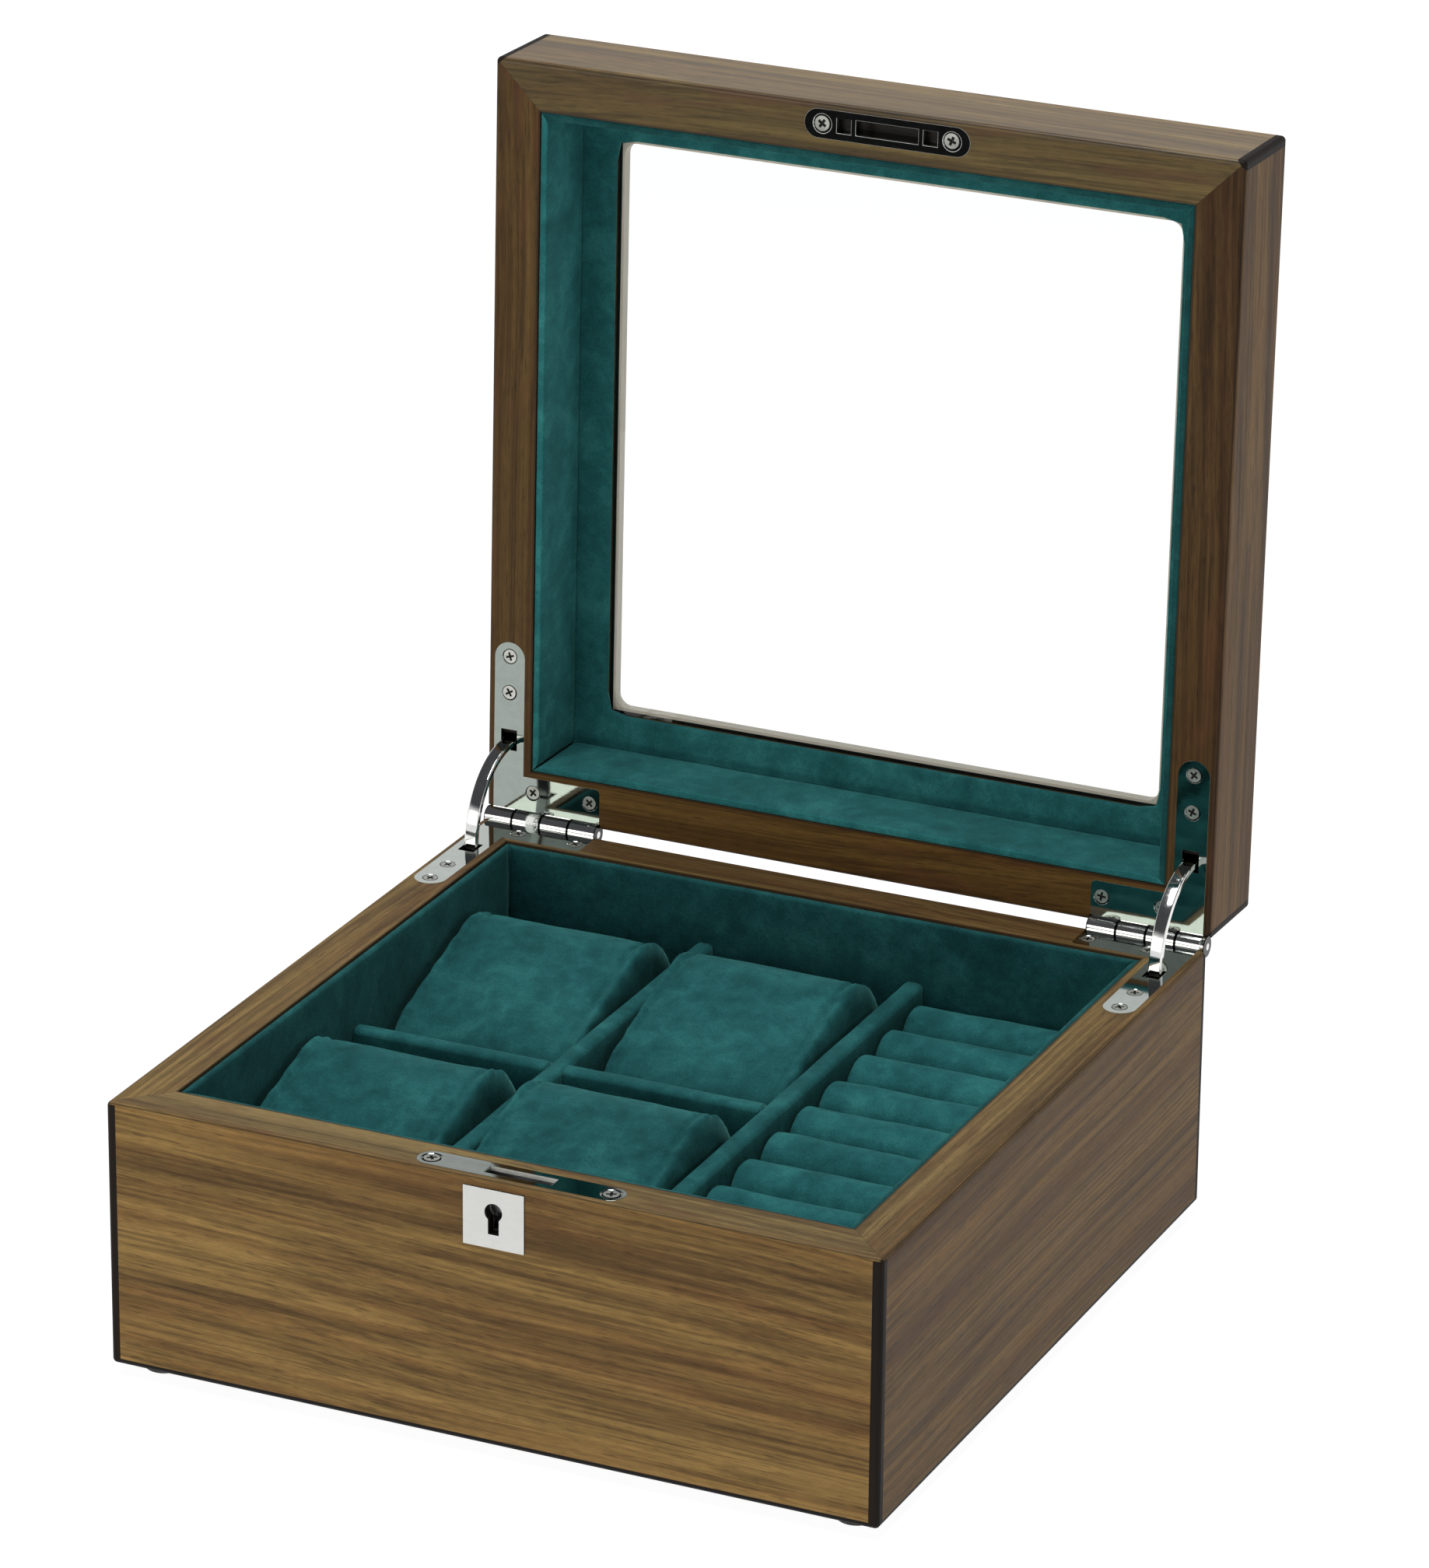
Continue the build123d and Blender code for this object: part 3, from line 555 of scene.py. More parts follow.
for name in ("lock_case", "lock_cover", "lock_spring", "key_post"):
    dress(nodes[name], steel)
dress(nodes["lock_claw"], claw_nickel)
for name in ("hinge_pin_left", "hinge_pin_right"):
    dress(nodes[name], bright_chrome)


# ---- making pieces ----
def linked(name, data):
    """A new object in the scene."""
    obj = bpy.data.objects.new(name, data)
    bpy.context.scene.collection.objects.link(obj)
    return obj


def modified(obj):
    """A new mesh of the object as its modifiers leave it."""
    graph = bpy.context.evaluated_depsgraph_get()
    return bpy.data.meshes.new_from_object(obj.evaluated_get(graph))


def new_piece(name, mesh, node, slot, *materials):
    """A new object that stands for a CAD node and rides on that node's body."""
    piece = linked(name, mesh)
    dress(piece, *materials)
    mesh.shade_smooth()
    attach(piece, body_of_node[node])
    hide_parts(node)
    return piece


def velvet_piece(mesh, node, cover=base_velvet):
    return new_piece(f"velvet_{node}", mesh, node, "teal_velvet", cover)


def mesh_from(name, verts, faces, move=None):
    """A mesh from points in millimetres, with its faces turned outwards."""
    mesh = bpy.data.meshes.new(name)
    mesh.from_pydata([Vector(v) * MM for v in verts], [], faces)
    if move is not None:
        mesh.transform(move)
    bm = bmesh.new()
    bm.from_mesh(mesh)
    bmesh.ops.recalc_face_normals(bm, faces=bm.faces)
    bm.to_mesh(mesh)
    bm.free()
    mesh.update()
    return mesh


def loft(rings, closed_ends=True):
    """Faces between rings of points that have the same count."""
    count = len(rings[0])
    verts = [p for ring in rings for p in ring]
    faces = []
    for i in range(len(rings) - 1):
        for j in range(count):
            k = (j + 1) % count
            faces.append((i * count + j, i * count + k, (i + 1) * count + k, (i + 1) * count + j))
    if closed_ends:
        faces.append(tuple(range(count)))
        last = (len(rings) - 1) * count
        faces.append(tuple(reversed(range(last, last + count))))
    return verts, faces


def soft_noise(point, size, seed):
    """Smooth noise from -1 to 1 with features of about size millimetres."""
    return noise.noise(Vector(point) / size + Vector((seed * 7.3, seed * 3.1, seed * 5.7)))


def steps(low, high, pitch):
    """Even steps of about pitch from low to high, with both ends."""
    count = max(2, round(abs(high - low) / pitch) + 1)
    return [low + (high - low) * i / (count - 1) for i in range(count)]


def clamped(value, low, high):
    return min(max(value, low), high)


def bell(distance, width):
    return math.exp(-((distance / width) ** 2))


def board_section(thickness, low, high, round_low, round_high, pitch=2.5):
    """A covered board's outline across its length: (depth, height) points, its edges rounded."""
    points = []

    def corner(cx, cz, radius, start):
        for i in range(5):
            a = math.radians(start + 90 * i / 4)
            points.append((cx + radius * math.cos(a), cz + radius * math.sin(a)))

    corner(thickness - round_low, low + round_low, round_low, -90)
    for z in steps(low + round_low, high - round_high, pitch)[1:-1]:
        points.append((thickness, z))
    corner(thickness - round_high, high - round_high, round_high, 0)
    corner(round_high, high - round_high, round_high, 90)
    for z in steps(high - round_high, low + round_low, pitch * 3)[1:-1]:
        points.append((0.0, z))
    corner(round_low, low + round_low, round_low, 180)
    return points


# ---- velvet-covered boards ----
LINER = 2.5 - 0.1
LINER_BACK = INNER - 0.1
# shares of a liner's half length: where its cover turns in, over how much, and the points there
LINER_TURN = 0.97
LINER_TURN_LENGTH = 0.03
LINER_END_STATIONS = [0.972, 0.985, 0.994, 1.0]


def liner_mesh(name, side, low, high, seed, move=None):
    """A velvet-covered liner board with mitred ends, its face slightly crowned and uneven."""
    section = board_section(LINER, low, high, 0.5, 1.05)
    spin = Matrix.Rotation(math.radians(90 * SIDES.index(side)), 4, "Z")
    stations = [-s for s in reversed(LINER_END_STATIONS)]
    stations += steps(-0.955, 0.955, 0.03) + LINER_END_STATIONS
    rings = []
    for s in stations:
        ring = []
        for depth, z in section:
            pull = max(0.0, abs(s) - LINER_TURN) / LINER_TURN_LENGTH
            sunk = 0.55 * pull**2 * depth / LINER
            place = Vector((s * (LINER_BACK - depth), -LINER_BACK + depth - sunk, z))
            inside = max(0.0, (depth - 1.2) / 1.2)
            crown = 0.16 * math.sin(math.pi * (z - low) / (high - low))
            uneven = 0.13 * soft_noise(place, 16.0, seed) + 0.05 * soft_noise(place, 5.0, seed + 3)
            place.y += inside * (crown + uneven - 0.1)
            top = max(0.0, (z - (high - 1.2)) / 1.2)
            place.z += top * (0.08 * soft_noise(place, 11.0, seed + 9) - 0.04)
            ring.append(spin @ place)
        rings.append(ring)
    return mesh_from(name, *loft(rings), move)


for number, side in enumerate(SIDES):
    node = f"base_liner_{side}"
    velvet_piece(liner_mesh(node, side, PANEL_TOP, RIM - 0.4, number + 1), node, shaded_wall_velvet)
    node = f"lid_liner_{side}"
    low, high = LID_RIM + 0.4, RETAINER_BOTTOM - 0.05
    lid_board = liner_mesh(node, side, low, high, number + 21, SWING_OPEN)
    # the front and right ones stand in the shade of the open lid
    cover = lid_shaded_velvet if side in ("front", "right") else lit_lid_liner_velvet
    velvet_piece(lid_board, node, cover)


def covered_block(name, lo, hi, radius, pitch, uneven, seed):
    """A block with rounded edges and slightly uneven faces, as cloth over a board makes it."""
    bm = bmesh.new()
    bmesh.ops.create_cube(bm, size=1.0)
    size = [h - l for l, h in zip(lo, hi)]
    middle = [(h + l) / 2 for l, h in zip(lo, hi)]
    for vert in bm.verts:
        vert.co = Vector([m + c * s for m, c, s in zip(middle, vert.co, size)])
    eased_edges = {"offset": radius, "segments": 4, "profile": 0.5, "clamp_overlap": True}
    bmesh.ops.bevel(bm, geom=list(bm.edges), affect="EDGES", **eased_edges)
    # each round halves the edges that are still too long
    for _ in range(8):
        long_edges = [e for e in bm.edges if e.calc_length() > 1.6 * pitch]
        if not long_edges:
            break
        bmesh.ops.subdivide_edges(bm, edges=long_edges, cuts=1, use_grid_fill=True)
    bmesh.ops.triangulate(bm, faces=[f for f in bm.faces if len(f.verts) > 4])
    bm.normal_update()
    bm.verts.index_update()
    places = []
    for vert in bm.verts:
        wave = soft_noise(vert.co, 14.0, seed) * 0.7 + soft_noise(vert.co, 5.0, seed + 2) * 0.3
        places.append(vert.co + vert.normal * (uneven * wave - uneven * 0.5))
    # bmesh may number its points differently each run, so they go in order of their places
    order = sorted(range(len(places)), key=lambda i: tuple(places[i]))
    rank = {old: new for new, old in enumerate(order)}
    faces = []
    for face in bm.faces:
        ring = [rank[vert.index] for vert in face.verts]
        first = ring.index(min(ring))
        faces.append(tuple(ring[first:] + ring[:first]))
    bm.free()
    return mesh_from(name, [places[i] for i in order], sorted(faces))


ROOM_EDGE = ROOM - 0.2
floor_lo = (-ROOM_EDGE, -ROOM_EDGE, PANEL_TOP)
floor_hi = (ROOM_EDGE, ROOM_EDGE, FLOOR_TOP)
velvet_piece(covered_block("floor_pad", floor_lo, floor_hi, 0.6, 5.0, 0.15, 41), "floor_pad")
bed_lo = (MAIN_DIVIDER_X + MAIN_DIVIDER_THICKNESS / 2 + 0.15, -ROOM_EDGE, FLOOR_TOP)
bed_hi = (ROOM_EDGE, ROOM_EDGE, BED_TOP)
velvet_piece(covered_block("cufflink_bed", bed_lo, bed_hi, 1.2, 6.0, 0.2, 42), "cufflink_bed")


def divider_mesh(along, low, high, middle, thickness, seed):
    """A velvet-covered divider with softened top edges, a little uneven along its length."""
    section = board_section(thickness, FLOOR_TOP, DIVIDER_TOP, 0.3, 1.6)
    stations = [low, low + 0.5, low + 1.5] + steps(low + 3.0, high - 3.0, 3.0)
    stations += [high - 1.5, high - 0.5, high]
    rings = []
    for s in stations:
        ring = []
        near_end = max(0.0, 1.0 - min(s - low, high - s) / 1.5)
        for depth, z in section:
            across = (depth - thickness / 2) * (1.0 - 0.07 * near_end)
            outward = 1 if across > 0 else -1
            place = Vector((s, middle + across, z))
            lift = max(0.0, (z - (DIVIDER_TOP - 12.0)) / 12.0)
            sway = 0.16 * soft_noise((s, middle, 0.0), 28.0, seed) * lift
            place.y += sway + outward * (0.10 * soft_noise(place, 6.0, seed + 5) - 0.08)
            if z > DIVIDER_TOP - 1.0:
                crown = 0.25 * (1.0 - (2.0 * across / thickness) ** 2)
                place.z += crown + 0.14 * soft_noise((s, middle, 3.0), 17.0, seed + 4) - 0.2
            ring.append(place if along == "X" else Vector((place.y, place.x, place.z)))
        rings.append(ring)
    return loft(rings)


def divider_piece(name, runs, seed):
    """One divider made of one or more straight runs."""
    verts, faces = [], []
    for run in runs:
        more_verts, more_faces = divider_mesh(*run, seed)
        faces += [tuple(i + len(verts) for i in face) for face in more_faces]
        verts += more_verts
    velvet_piece(mesh_from(name, verts, faces), name)


main_run = ("Y", -ROOM_EDGE, ROOM_EDGE, MAIN_DIVIDER_X, MAIN_DIVIDER_THICKNESS)
column_run = ("Y", -ROOM_EDGE, ROOM_EDGE, COLUMN_X, DIVIDER_THICKNESS)
row_meets_column = DIVIDER_THICKNESS / 2 - 0.05
row_runs = [
    ("X", -ROOM_EDGE, COLUMN_X - row_meets_column, 0.0, DIVIDER_THICKNESS),
    ("X", COLUMN_X + row_meets_column, 29.7, 0.0, DIVIDER_THICKNESS),
]
divider_piece("main_divider", [main_run], 51)
divider_piece("column_divider", [column_run], 52)
divider_piece("row_divider", row_runs, 53)


def retainer_mesh():
    """The covered frame round the window, with a rounded inner edge."""
    outer, inner, corner = INNER - 0.15, 92.0, 4.0
    low, high = RETAINER_BOTTOM, FRAME_BOTTOM - 0.02
    straight = inner - corner
    per_side = 40
    outline = []
    for quarter in range(4):
        turn = Matrix.Rotation(math.radians(90 * quarter), 3, "Z")
        for i in range(per_side):
            reach = math.tan(-math.pi / 4 + math.pi / 2 * i / per_side)
            out_point = Vector((outer, outer * reach, 0))
            y = inner * reach
            in_point = Vector((inner, y, 0))
            if abs(y) > straight:
                b = math.pi / 4 * (abs(y) - straight) / corner
                in_y = straight + corner * math.sin(b)
                in_point = Vector((straight + corner * math.cos(b), math.copysign(in_y, y), 0))
            outline.append((turn @ out_point, turn @ in_point))
    # from the outer edge inwards along the face, round the inner edge, and back behind
    profile = [(0.0, low)]
    profile += [(t, low) for t in (0.12, 0.26, 0.4, 0.54, 0.68, 0.8, 0.88)]
    edge_round = 0.7
    for i in range(1, 6):
        a = math.radians(90 * i / 5)
        share = 1.0 - edge_round * (1 - math.sin(a)) / (outer - inner)
        profile.append((share, low + edge_round * (1 - math.cos(a))))
    profile += [(1.0, high), (0.0, high)]
    rings = []
    for t, z in profile:
        ring = []
        for out_point, in_point in outline:
            place = out_point.lerp(in_point, t)
            place.z = z
            if z < high - 0.4 and t > 0.02:
                uneven = 0.08 * soft_noise(place, 13.0, 61) + 0.03 * soft_noise(place, 4.0, 62)
                place.z += uneven + 0.08
            ring.append(place)
        rings.append(ring)
    verts, faces = loft(rings, closed_ends=False)
    count = len(outline)
    last = (len(rings) - 1) * count
    for j in range(count):
        k = (j + 1) % count
        faces.append((last + j, last + k, k, j))
    return mesh_from("glass_retainer", verts, faces, SWING_OPEN)


velvet_piece(retainer_mesh(), "glass_retainer", lid_velvet)


# ---- stuffed pieces ----
def remeshed(name, verts, faces, voxel):
    """A closed mesh of even quads round the given shape, in metres."""
    start = linked(name + "_start", mesh_from(name + "_start", verts, faces))
    modifier = start.modifiers.new("even", "REMESH")
    modifier.mode = "VOXEL"
    modifier.voxel_size = voxel * MM
    even = modified(start)
    even.name = name
    bpy.data.objects.remove(start)
    return even


CLOTH_FRAMES = 20
CLOTH = {
    "quality": 6,
    "mass": 0.25,
    "tension_stiffness": 18,
    "compression_stiffness": 18,
    "shear_stiffness": 6,
    "bending_stiffness": 0.4,
    "use_pressure": True,
    "vertex_group_mass": "held",
    "pin_stiffness": 1.0,
}


def stuffed(name, even, pressure, cap, held):
    """The mesh blown up as cloth under pressure, no point by more than cap millimetres.

    held gives 1 where a seam holds a point, and 0 where it is free.
    """
    obj = linked(name + "_cloth", even)
    rest = np.array([v.co for v in even.vertices])
    group = obj.vertex_groups.new(name="held")
    for index, co in enumerate(rest):
        weight = held(co / MM)
        if weight > 0:
            group.add([index], weight, "REPLACE")
    cloth = obj.modifiers.new("cloth", "CLOTH")
    for key, value in CLOTH.items():
        setattr(cloth.settings, key, value)
    cloth.settings.uniform_pressure_force = pressure
    cloth.settings.effector_weights.gravity = 0
    cloth.collision_settings.use_self_collision = False
    scene = bpy.context.scene
    for step in range(CLOTH_FRAMES):
        scene.frame_set(1 + step)
    done = modified(obj)
    move = np.array([v.co for v in done.vertices]) - rest
    bpy.data.meshes.remove(done)
    scene.frame_set(1)
    length = np.linalg.norm(move, axis=1, keepdims=True)
    move *= np.minimum(1.0, cap * MM / np.maximum(length, 1e-9))
    even.vertices.foreach_set("co", (rest + move).astype(np.float32).ravel())
    even.update()
    bpy.data.objects.remove(obj)
    return even


def finer(mesh, levels):
    """The mesh after subdivision."""
    obj = linked("finer", mesh)
    obj.modifiers.new("sub", "SUBSURF").levels = levels
    fine = modified(obj)
    bpy.data.objects.remove(obj)
    return fine


# along the pillow: how far from its end, and how much smaller its section is there
PILLOW_END_STATIONS = [(0.0, 1.1), (0.5, 0.3), (1.3, 0.0)]
# how much smaller the pillow starts, and how far its seam lies from its end
PILLOW_INSET = 0.8
PILLOW_SEAM = 4.3
PILLOW_VOXEL = 3.2
PILLOW_PRESSURE = 3.0
PILLOW_CAP = 1.9


def pillow_section(shrink, count=64):
    """A rounded rectangle outline, tilted with its rear end up."""
    corner = PILLOW_CORNER - shrink
    straight_y = PILLOW_LENGTH / 2 - PILLOW_CORNER
    straight_z = PILLOW_THICKNESS / 2 - PILLOW_CORNER
    c, s = math.cos(PILLOW_TILT), math.sin(PILLOW_TILT)
    points = []
    for i in range(count):
        a = 2 * math.pi * (i + 0.5) / count
        y = math.copysign(straight_y, math.cos(a)) + corner * math.cos(a)
        z = math.copysign(straight_z, math.sin(a)) + corner * math.sin(a)
        points.append((y * c - z * s, y * s + z * c))
    return points


def pillow_mesh(node, seed):
    """A watch pillow: a stuffed velvet tube with a flat cap sewn in at each end."""
    lo, hi = (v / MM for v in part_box(node))
    middle = (lo + hi) / 2
    half = (hi - lo) / 2
    end = half.x + 0.1
    rings = [(-end + d, shrink) for d, shrink in PILLOW_END_STATIONS]
    rings += [(x, 0.0) for x in steps(-end + 5.0, end - 5.0, 3.6)]
    rings += [(end - d, shrink) for d, shrink in reversed(PILLOW_END_STATIONS)]
    lofted = []
    for x, shrink in rings:
        outline = pillow_section(PILLOW_INSET + shrink)
        lofted.append([(middle.x + x, middle.y + y, middle.z + z) for y, z in outline])
    even = remeshed(node, *loft(lofted), PILLOW_VOXEL)

    def held(point):
        from_end = end - abs(point[0] - middle.x)
        return 1.0 if from_end < 1.2 else max(0.0, 1.0 - (from_end - 1.2) / 4.0)

    fine = finer(stuffed(node, even, PILLOW_PRESSURE, PILLOW_CAP, held), 2)
    for vert in fine.vertices:
        place = vert.co / MM
        from_axis = Vector((0.0, place.y - middle.y, place.z - middle.z))
        out = from_axis.normalized()
        turn = math.atan2(from_axis.z, from_axis.y)
        side = 1 if place.x > middle.x else -1
        from_end = end - abs(place.x - middle.x)
        # 0 on the cap, 1 on the body, which the seam pulls in between a lip and a fold
        body = clamped(from_end / 0.9, 0.0, 1.0)
        groove = 1.05 * bell(from_end - PILLOW_SEAM, 0.85)
        lip = 1.15 * bell(from_end - 1.7, 1.4)
        fold = 0.30 * bell(from_end - 8.0, 1.5) * soft_noise((turn * 1.6, side, seed), 1.0, seed)
        pucker = 0.42 * math.exp(-max(0.0, from_end - PILLOW_SEAM) / 6.0)
        pucker *= soft_noise((turn * 9.0, seed, side), 1.0, seed)
        soft = 0.45 * soft_noise(place, 21.0, seed + 11) + 0.14 * soft_noise(place, 6.5, seed + 12)
        place += out * body * (lip + fold + pucker + soft - groove)
        # the cap is a little hollow, and uneven where it is gathered
        on_cap = 1.0 - body
        rim = (place.y - middle.y) ** 2 / half.y**2 + (place.z - middle.z) ** 2 / half.z**2
        hollow = 0.6 * max(0.0, 1.0 - rim) + 0.25 * soft_noise(place, 9.0, seed + 13)
        place.x -= side * on_cap * hollow
        place.x = clamped(place.x, lo.x - 0.5, hi.x + 0.5)
        place.y = clamped(place.y, middle.y - half.y - 0.6, middle.y + half.y + 0.6)
        place.z = clamped(place.z, FLOOR_TOP + 0.1, middle.z + half.z + 0.8)
        vert.co = place * MM
    fine.update()
    return fine


for number, place_name in enumerate(("front_left", "front_right", "rear_left", "rear_right")):
    node = f"watch_pillow_{place_name}"
    mesh = pillow_mesh(node, 71 + number)
    pillow = new_piece(f"stuffed_{node}", mesh, node, "teal_velvet", base_velvet)

# along the roll, as for the pillow, and the power of its section: 2 is an ellipse
ROLL_END_STATIONS = [(0.0, 0.9), (0.35, 0.3), (0.9, 0.0)]
ROLL_SQUARENESS = 2.05
ROLL_VOXEL = 1.8
ROLL_PRESSURE = 2.4
ROLL_CAP = 0.8


def roll_mesh(name, index, seed):
    """One cufflink roll: a soft bar with rounded ends, pressed flat against its neighbours."""
    y_middle = -ROOM + (index + 0.5) * ROLL_PITCH
    x0, x1 = ROLL_X[0] + 0.1, ROLL_X[1] - 0.1
    z_middle = (ROLL_TOP + ROLL_BOTTOM) / 2
    reach = ROLL_PITCH / 2 - 0.5
    tall = (ROLL_TOP - ROLL_BOTTOM) / 2 - 0.4
    rings = []
    span = [(x0 + d, s) for d, s in ROLL_END_STATIONS]
    span += [(x, 0.0) for x in steps(x0 + 6.0, x1 - 6.0, 6.0)]
    span += [(x1 - d, s) for d, s in reversed(ROLL_END_STATIONS)]
    power = 2 / ROLL_SQUARENESS
    for x, shrink in span:
        ring = []
        for i in range(40):
            a = 2 * math.pi * i / 40
            c, s = math.cos(a), math.sin(a)
            y = (reach - shrink) * math.copysign(abs(c) ** power, c)
            z = (tall - shrink) * math.copysign(abs(s) ** power, s)
            ring.append((x, y_middle + y, z_middle + z))
        rings.append(ring)
    even = remeshed(name, *loft(rings), ROLL_VOXEL)

    def held(point):
        return 1.0 if point[2] < ROLL_BOTTOM + 2.0 else 0.0

    fine = finer(stuffed(name, even, ROLL_PRESSURE, ROLL_CAP, held), 1)
    limit = ROLL_PITCH / 2 - 0.06
    for vert in fine.vertices:
        place = vert.co / MM
        up = max(0.0, (place.z - z_middle) / tall)
        wave = 0.32 * soft_noise(place, 15.0, seed) + 0.12 * soft_noise(place, 5.0, seed + 2)
        place.z += up * (wave - 0.1)
        place.y += 0.25 * soft_noise((place.x, index * 9.0, 0.0), 18.0, seed + 5)
        place.x = clamped(place.x, *ROLL_X)
        place.y = clamped(place.y, y_middle - limit, y_middle + limit)
        place.z = clamped(place.z, ROLL_BOTTOM, ROLL_TOP + 0.5)
        vert.co = place * MM
    fine.update()
    return fine


for index in range(ROLL_COUNT):
    mesh = roll_mesh(f"roll_{index}", index, 91 + index)
    roll = new_piece(f"stuffed_roll_{index}", mesh, "cufflink_rolls", "teal_velvet", lit_roll_velvet)


# ---- metal fittings with eased edges ----
SHARP = math.radians(28.0)
BEVEL_WEIGHT = "bevel_weight_edge"
# the bevel round a screw's head, the share of it along its recess, and how much slimmer the
# screw is than its countersink
HEAD_EASE = 0.36
RECESS_EASE = 0.35
HEAD_SHARE = 0.89
# along a screw's axis from its middle: past its countersink, but short of the plate's face
HOLE_REACH = 4.0 * MM
CHROME = "polished_chrome"
# the middle, axis and radius of each screw, for the rings round them
screw_places = []


def ease_island(bm, island, middle, axis):
    """One screw made slimmer, its bevel wide round its head and narrow along its recess."""
    layers = bm.edges.layers.float
    weight = layers.get(BEVEL_WEIGHT) or layers.new(BEVEL_WEIGHT)
    offsets = {v: v.co - middle for v in island}
    radius = {v: (d - axis * d.dot(axis)).length for v, d in offsets.items()}
    widest = max(radius.values())
    screw_places.append((middle, axis, widest))
    for vert, offset in offsets.items():
        along = axis * offset.dot(axis)
        vert.co = middle + along + (offset - along) * HEAD_SHARE
    for edge in {e for v in island for e in v.link_edges}:
        if len(edge.link_faces) == 2 and edge.calc_face_angle() > SHARP:
            on_rim = all(radius[v] > 0.9 * widest for v in edge.verts)
            edge[weight] = 1.0 if on_rim else RECESS_EASE


def turn_islands(bm, axis):
    """Each screw in the mesh turned its own way about its axis, as a driver leaves it."""
    left = set(bm.verts)
    count = 0
    for first in list(bm.verts):
        if first not in left:
            continue
        left.remove(first)
        island = [first]
        for vert in island:
            for edge in vert.link_edges:
                other = edge.other_vert(vert)
                if other in left:
                    left.remove(other)
                    island.append(other)
        lows = Vector([min(v.co[i] for v in island) for i in range(3)])
        highs = Vector([max(v.co[i] for v in island) for i in range(3)])
        middle = (lows + highs) / 2
        turn = Matrix.Rotation(math.radians(35.0 + 77.0 * count), 3, axis)
        bmesh.ops.rotate(bm, cent=middle, matrix=turn, verts=island)
        ease_island(bm, island, middle, axis)
        count += 1


def eased(node, width, slot, *materials, turned=None):
    """A copy of a metal node with its sharp edges eased, so that they catch the light."""
    bm = bmesh.new()
    bm.from_mesh(nodes[node].data)
    bmesh.ops.remove_doubles(bm, verts=bm.verts, dist=1e-6)
    bmesh.ops.dissolve_limit(bm, angle_limit=math.radians(0.6), verts=bm.verts, edges=bm.edges)
    if turned is not None:
        turn_islands(bm, turned)
    mesh = bpy.data.meshes.new(node + "_eased")
    bm.to_mesh(mesh)
    bm.free()
    piece = new_piece(f"{node}_eased", mesh, node, slot, *materials)
    bevel = piece.modifiers.new("ease", "BEVEL")
    bevel.width = width * MM
    bevel.segments = 2
    bevel.limit_method = "ANGLE"
    bevel.angle_limit = SHARP
    piece.modifiers.new("flat", "WEIGHTED_NORMAL").keep_sharp = True
    return piece


def eased_screws(node, lid=False):
    """Screws whose recess and rim, and everything below the head's face, are dull and dark with
    painted shade.
    """
    axis = SWING_OPEN.to_3x3() @ Vector((0, 0, 1)) if lid else Vector((0, 0, 1))
    piece = eased(node, HEAD_EASE, CHROME, screw_chrome, recess_shade_and_polish, turned=axis)
    piece.modifiers["ease"].limit_method = "WEIGHT"
    piece.modifiers["ease"].material = 1
    swing_shut = SWING_OPEN.inverted()
    for polygon in piece.data.polygons:
        z = (swing_shut @ polygon.center if lid else polygon.center).z
        below_face = z - LID_RIM * MM if lid else RIM * MM - z
        if below_face > 0.12 * MM:
            polygon.material_index = 1


def darkened_holes(piece):
    """The countersinks under the screw heads get a dark ring of painted shade and old polish."""
    for polygon in piece.data.polygons:
        for middle, axis, widest in screw_places:
            offset = polygon.center - middle
            along = offset.dot(axis)
            out = (offset - axis * along).length
            if out < 1.02 * widest and abs(along) < HOLE_REACH:
                polygon.material_index = 1


def highlighted_slot_edge(piece):
    """The rear edge of the claw's slot gets a painted highlight."""
    lo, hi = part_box("lock_face_plate")
    middle = (lo + hi) / 2
    for polygon in piece.data.polygons:
        offset = polygon.center - middle
        if polygon.normal.y < -0.9 and offset.y > 0.0 and abs(offset.x) < 0.8 * (hi.x - middle.x):
            polygon.material_index = 2


eased_screws("hinge_base_screws")
eased_screws("lock_screws")
eased_screws("hinge_lid_screws", lid=True)
eased_screws("strike_screws", lid=True)
for side in ("left", "right"):
    for part, chrome in (("base", base_leaf_chrome), ("lid", lid_leaf_chrome)):
        darkened_holes(eased(f"hinge_{part}_leaf_{side}", 0.2, CHROME, chrome, recess_shade_and_polish))
    eased(f"lid_stay_{side}", 0.6, CHROME, bright_chrome)
face_plate = eased("lock_face_plate", 0.2, CHROME, plate_chrome, recess_shade_and_polish, slot_highlight_nickel)
darkened_holes(face_plate)
highlighted_slot_edge(face_plate)
strike = eased("strike_plate", 0.34, CHROME, plate_chrome, recess_shade_and_polish, edge_highlight_chrome)
# painted highlight on the eased edges
strike.modifiers["ease"].material = 2
darkened_holes(strike)
escutcheon = eased("escutcheon", 0.22, "satin_plate", satin, recess_shade_and_polish)
# painted shade on the escutcheon's edges, all round
for polygon in escutcheon.data.polygons:
    if abs(polygon.normal.y) < 0.5:
        polygon.material_index = 1


# ---- studio, in metres ----
FLOOR_ALBEDO = (0.16, 0.16, 0.16, 1.0)
FLOOR_GLOW = 0.95
WHITE = (1.0, 1.0, 1.0, 1.0)
# sines of the elevations between which the studio turns from white to dark
WORLD_WHITE_BELOW = 0.36
WORLD_DARK_ABOVE = 0.52
WORLD_OVERHEAD = (0.07, 0.07, 0.075, 1.0)
WORLD_STRENGTH = 0.9
BOX_MIDDLE = (0.0, 0.0, 0.1)


def flat_sheet(name, x0, x1, y0, y1, z, look):
    """A level sheet of the studio."""
    mesh = bpy.data.meshes.new(name)
    mesh.from_pydata([(x0, y0, z), (x1, y0, z), (x1, y1, z), (x0, y1, z)], [], [(0, 1, 2, 3)])
    mesh.materials.append(look.material)
    obj = linked(name, mesh)
    return obj


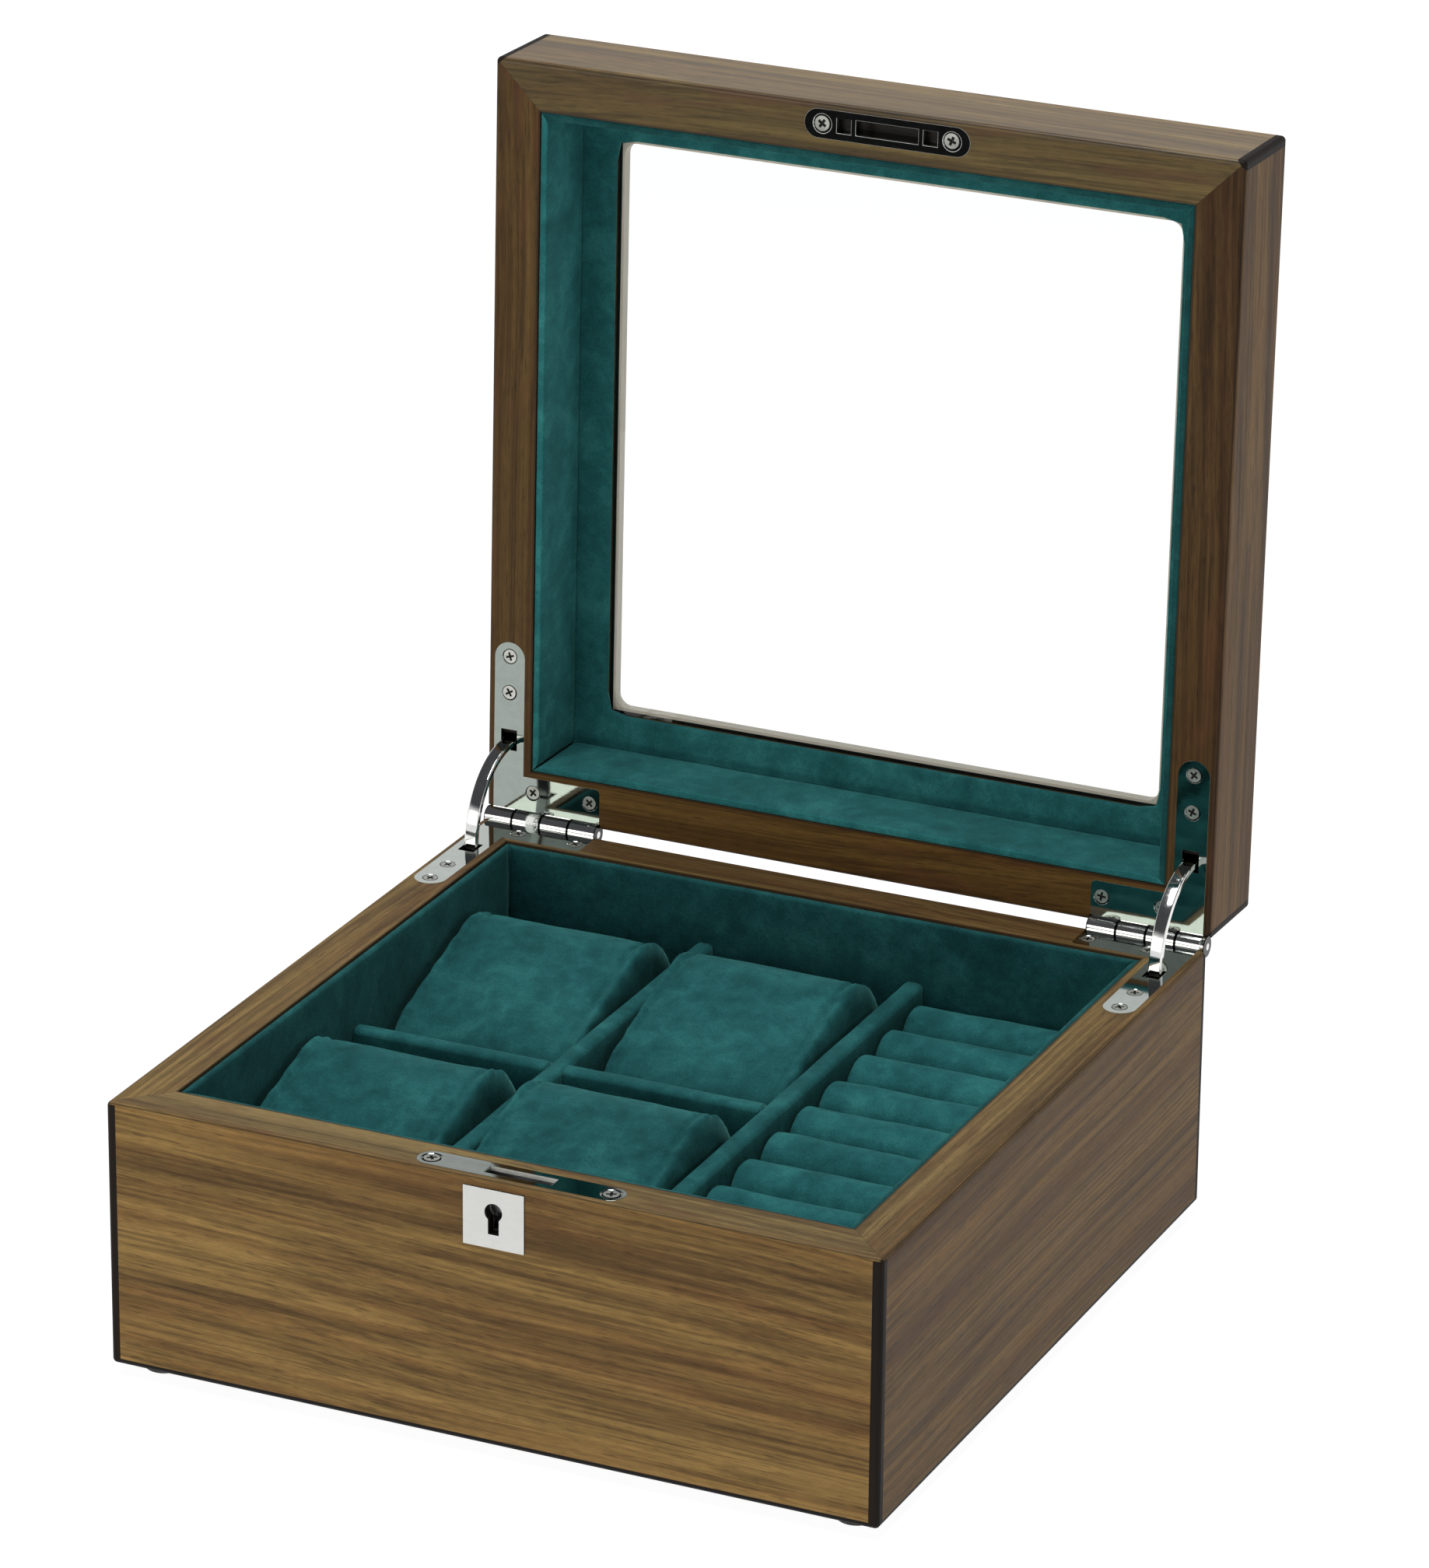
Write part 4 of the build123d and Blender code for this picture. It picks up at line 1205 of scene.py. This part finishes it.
def studio_floor():
    look = Look("floor_white")
    look.set(Base_Color=FLOOR_ALBEDO, Roughness=0.9, Specular_IOR_Level=0.0)
    look.set(Emission_Color=WHITE, Emission_Strength=FLOOR_GLOW)
    # just under the box, so that the feet don't share a plane with it
    flat_sheet("floor", -14.0, 14.0, -14.0, 14.0, -0.0002, look)


def black_flag():
    """A black card on the floor before the box, which shows only in the polished metal."""
    look = Look("flag_black")
    look.set(Base_Color=(0.015, 0.015, 0.015, 1.0), Roughness=0.9, Specular_IOR_Level=0.0)
    flag = flat_sheet("flag", -1.3, 0.3, -1.6, -0.5, 0.0005, look)
    for ray in ("camera", "diffuse", "shadow", "transmission"):
        setattr(flag, "visible_" + ray, False)


def area_light(name, place, target, size, power, colour=(1, 1, 1), reflected=True):
    """A soft box that faces its target; one that isn't reflected leaves no gleam in the metal."""
    data = bpy.data.lights.new(name, "AREA")
    data.shape = "RECTANGLE"
    data.size, data.size_y = size
    data.energy = power
    data.color = colour
    obj = linked(name, data)
    obj.visible_camera = False
    obj.visible_glossy = reflected
    obj.location = place
    obj.rotation_mode = "QUATERNION"
    obj.rotation_quaternion = (Vector(target) - Vector(place)).to_track_quat("-Z", "Y")


def studio_world():
    """White all round near the floor, dark overhead between the soft boxes."""
    world = bpy.data.worlds.new("studio")
    bpy.context.scene.world = world
    world.use_nodes = True
    tree = Nodes(world.node_tree)
    direction = tree.add("ShaderNodeTexCoord").outputs["Generated"]
    height = tree.parts(direction)[2]
    overhead = tree.ramp01(height, WORLD_WHITE_BELOW, WORLD_DARK_ABOVE)
    colour = tree.mix(overhead, WHITE, WORLD_OVERHEAD)
    inputs = {"Color": colour, "Strength": WORLD_STRENGTH}
    background = tree.add("ShaderNodeBackground", inputs)
    tree.add("ShaderNodeOutputWorld", {0: background.outputs[0]})


studio_floor()
black_flag()
studio_world()
area_light("top", (-0.1, 0.0, 2.2), BOX_MIDDLE, (1.3, 1.0), 44.0)
area_light("fill", (-0.9, -2.2, 0.75), BOX_MIDDLE, (1.0, 0.7), 6.0, (1.0, 0.96, 0.88))
# low enough to light the front without reaching over the rim
low_place, low_target = (-0.25, -0.95, 0.04), (0.0, -0.12, 0.045)
area_light("key", low_place, low_target, (1.4, 0.06), 4.1, (1.0, 0.94, 0.82), reflected=False)
bpy.context.scene.view_settings.view_transform = "Standard"


# ---- camera, as fitted to the corners of the box in the photograph ----
CAMERA_PLACE = Vector((846.91, -1815.51, 956.79)) * MM
CAMERA_AZIMUTH = math.radians(24.66)
CAMERA_ELEVATION = math.radians(21.68)
CAMERA_ROLL = 0.0096
CAMERA_LENS = 172.84


def camera():
    level = math.cos(CAMERA_ELEVATION)
    x, y = math.sin(CAMERA_AZIMUTH) * level, -math.cos(CAMERA_AZIMUTH) * level
    back = Vector((x, y, math.sin(CAMERA_ELEVATION)))
    right = Vector((0, 0, 1)).cross(back).normalized()
    up = back.cross(right)
    c, s = math.cos(CAMERA_ROLL), math.sin(CAMERA_ROLL)
    turn = Matrix((c * right + s * up, -s * right + c * up, back)).transposed()
    data = bpy.data.cameras.new("camera")
    data.lens = CAMERA_LENS
    data.clip_start = 0.05
    data.clip_end = 60.0
    obj = linked("camera", data)
    obj.matrix_world = Matrix.Translation(CAMERA_PLACE) @ turn.to_4x4()
    bpy.context.scene.camera = obj


camera()
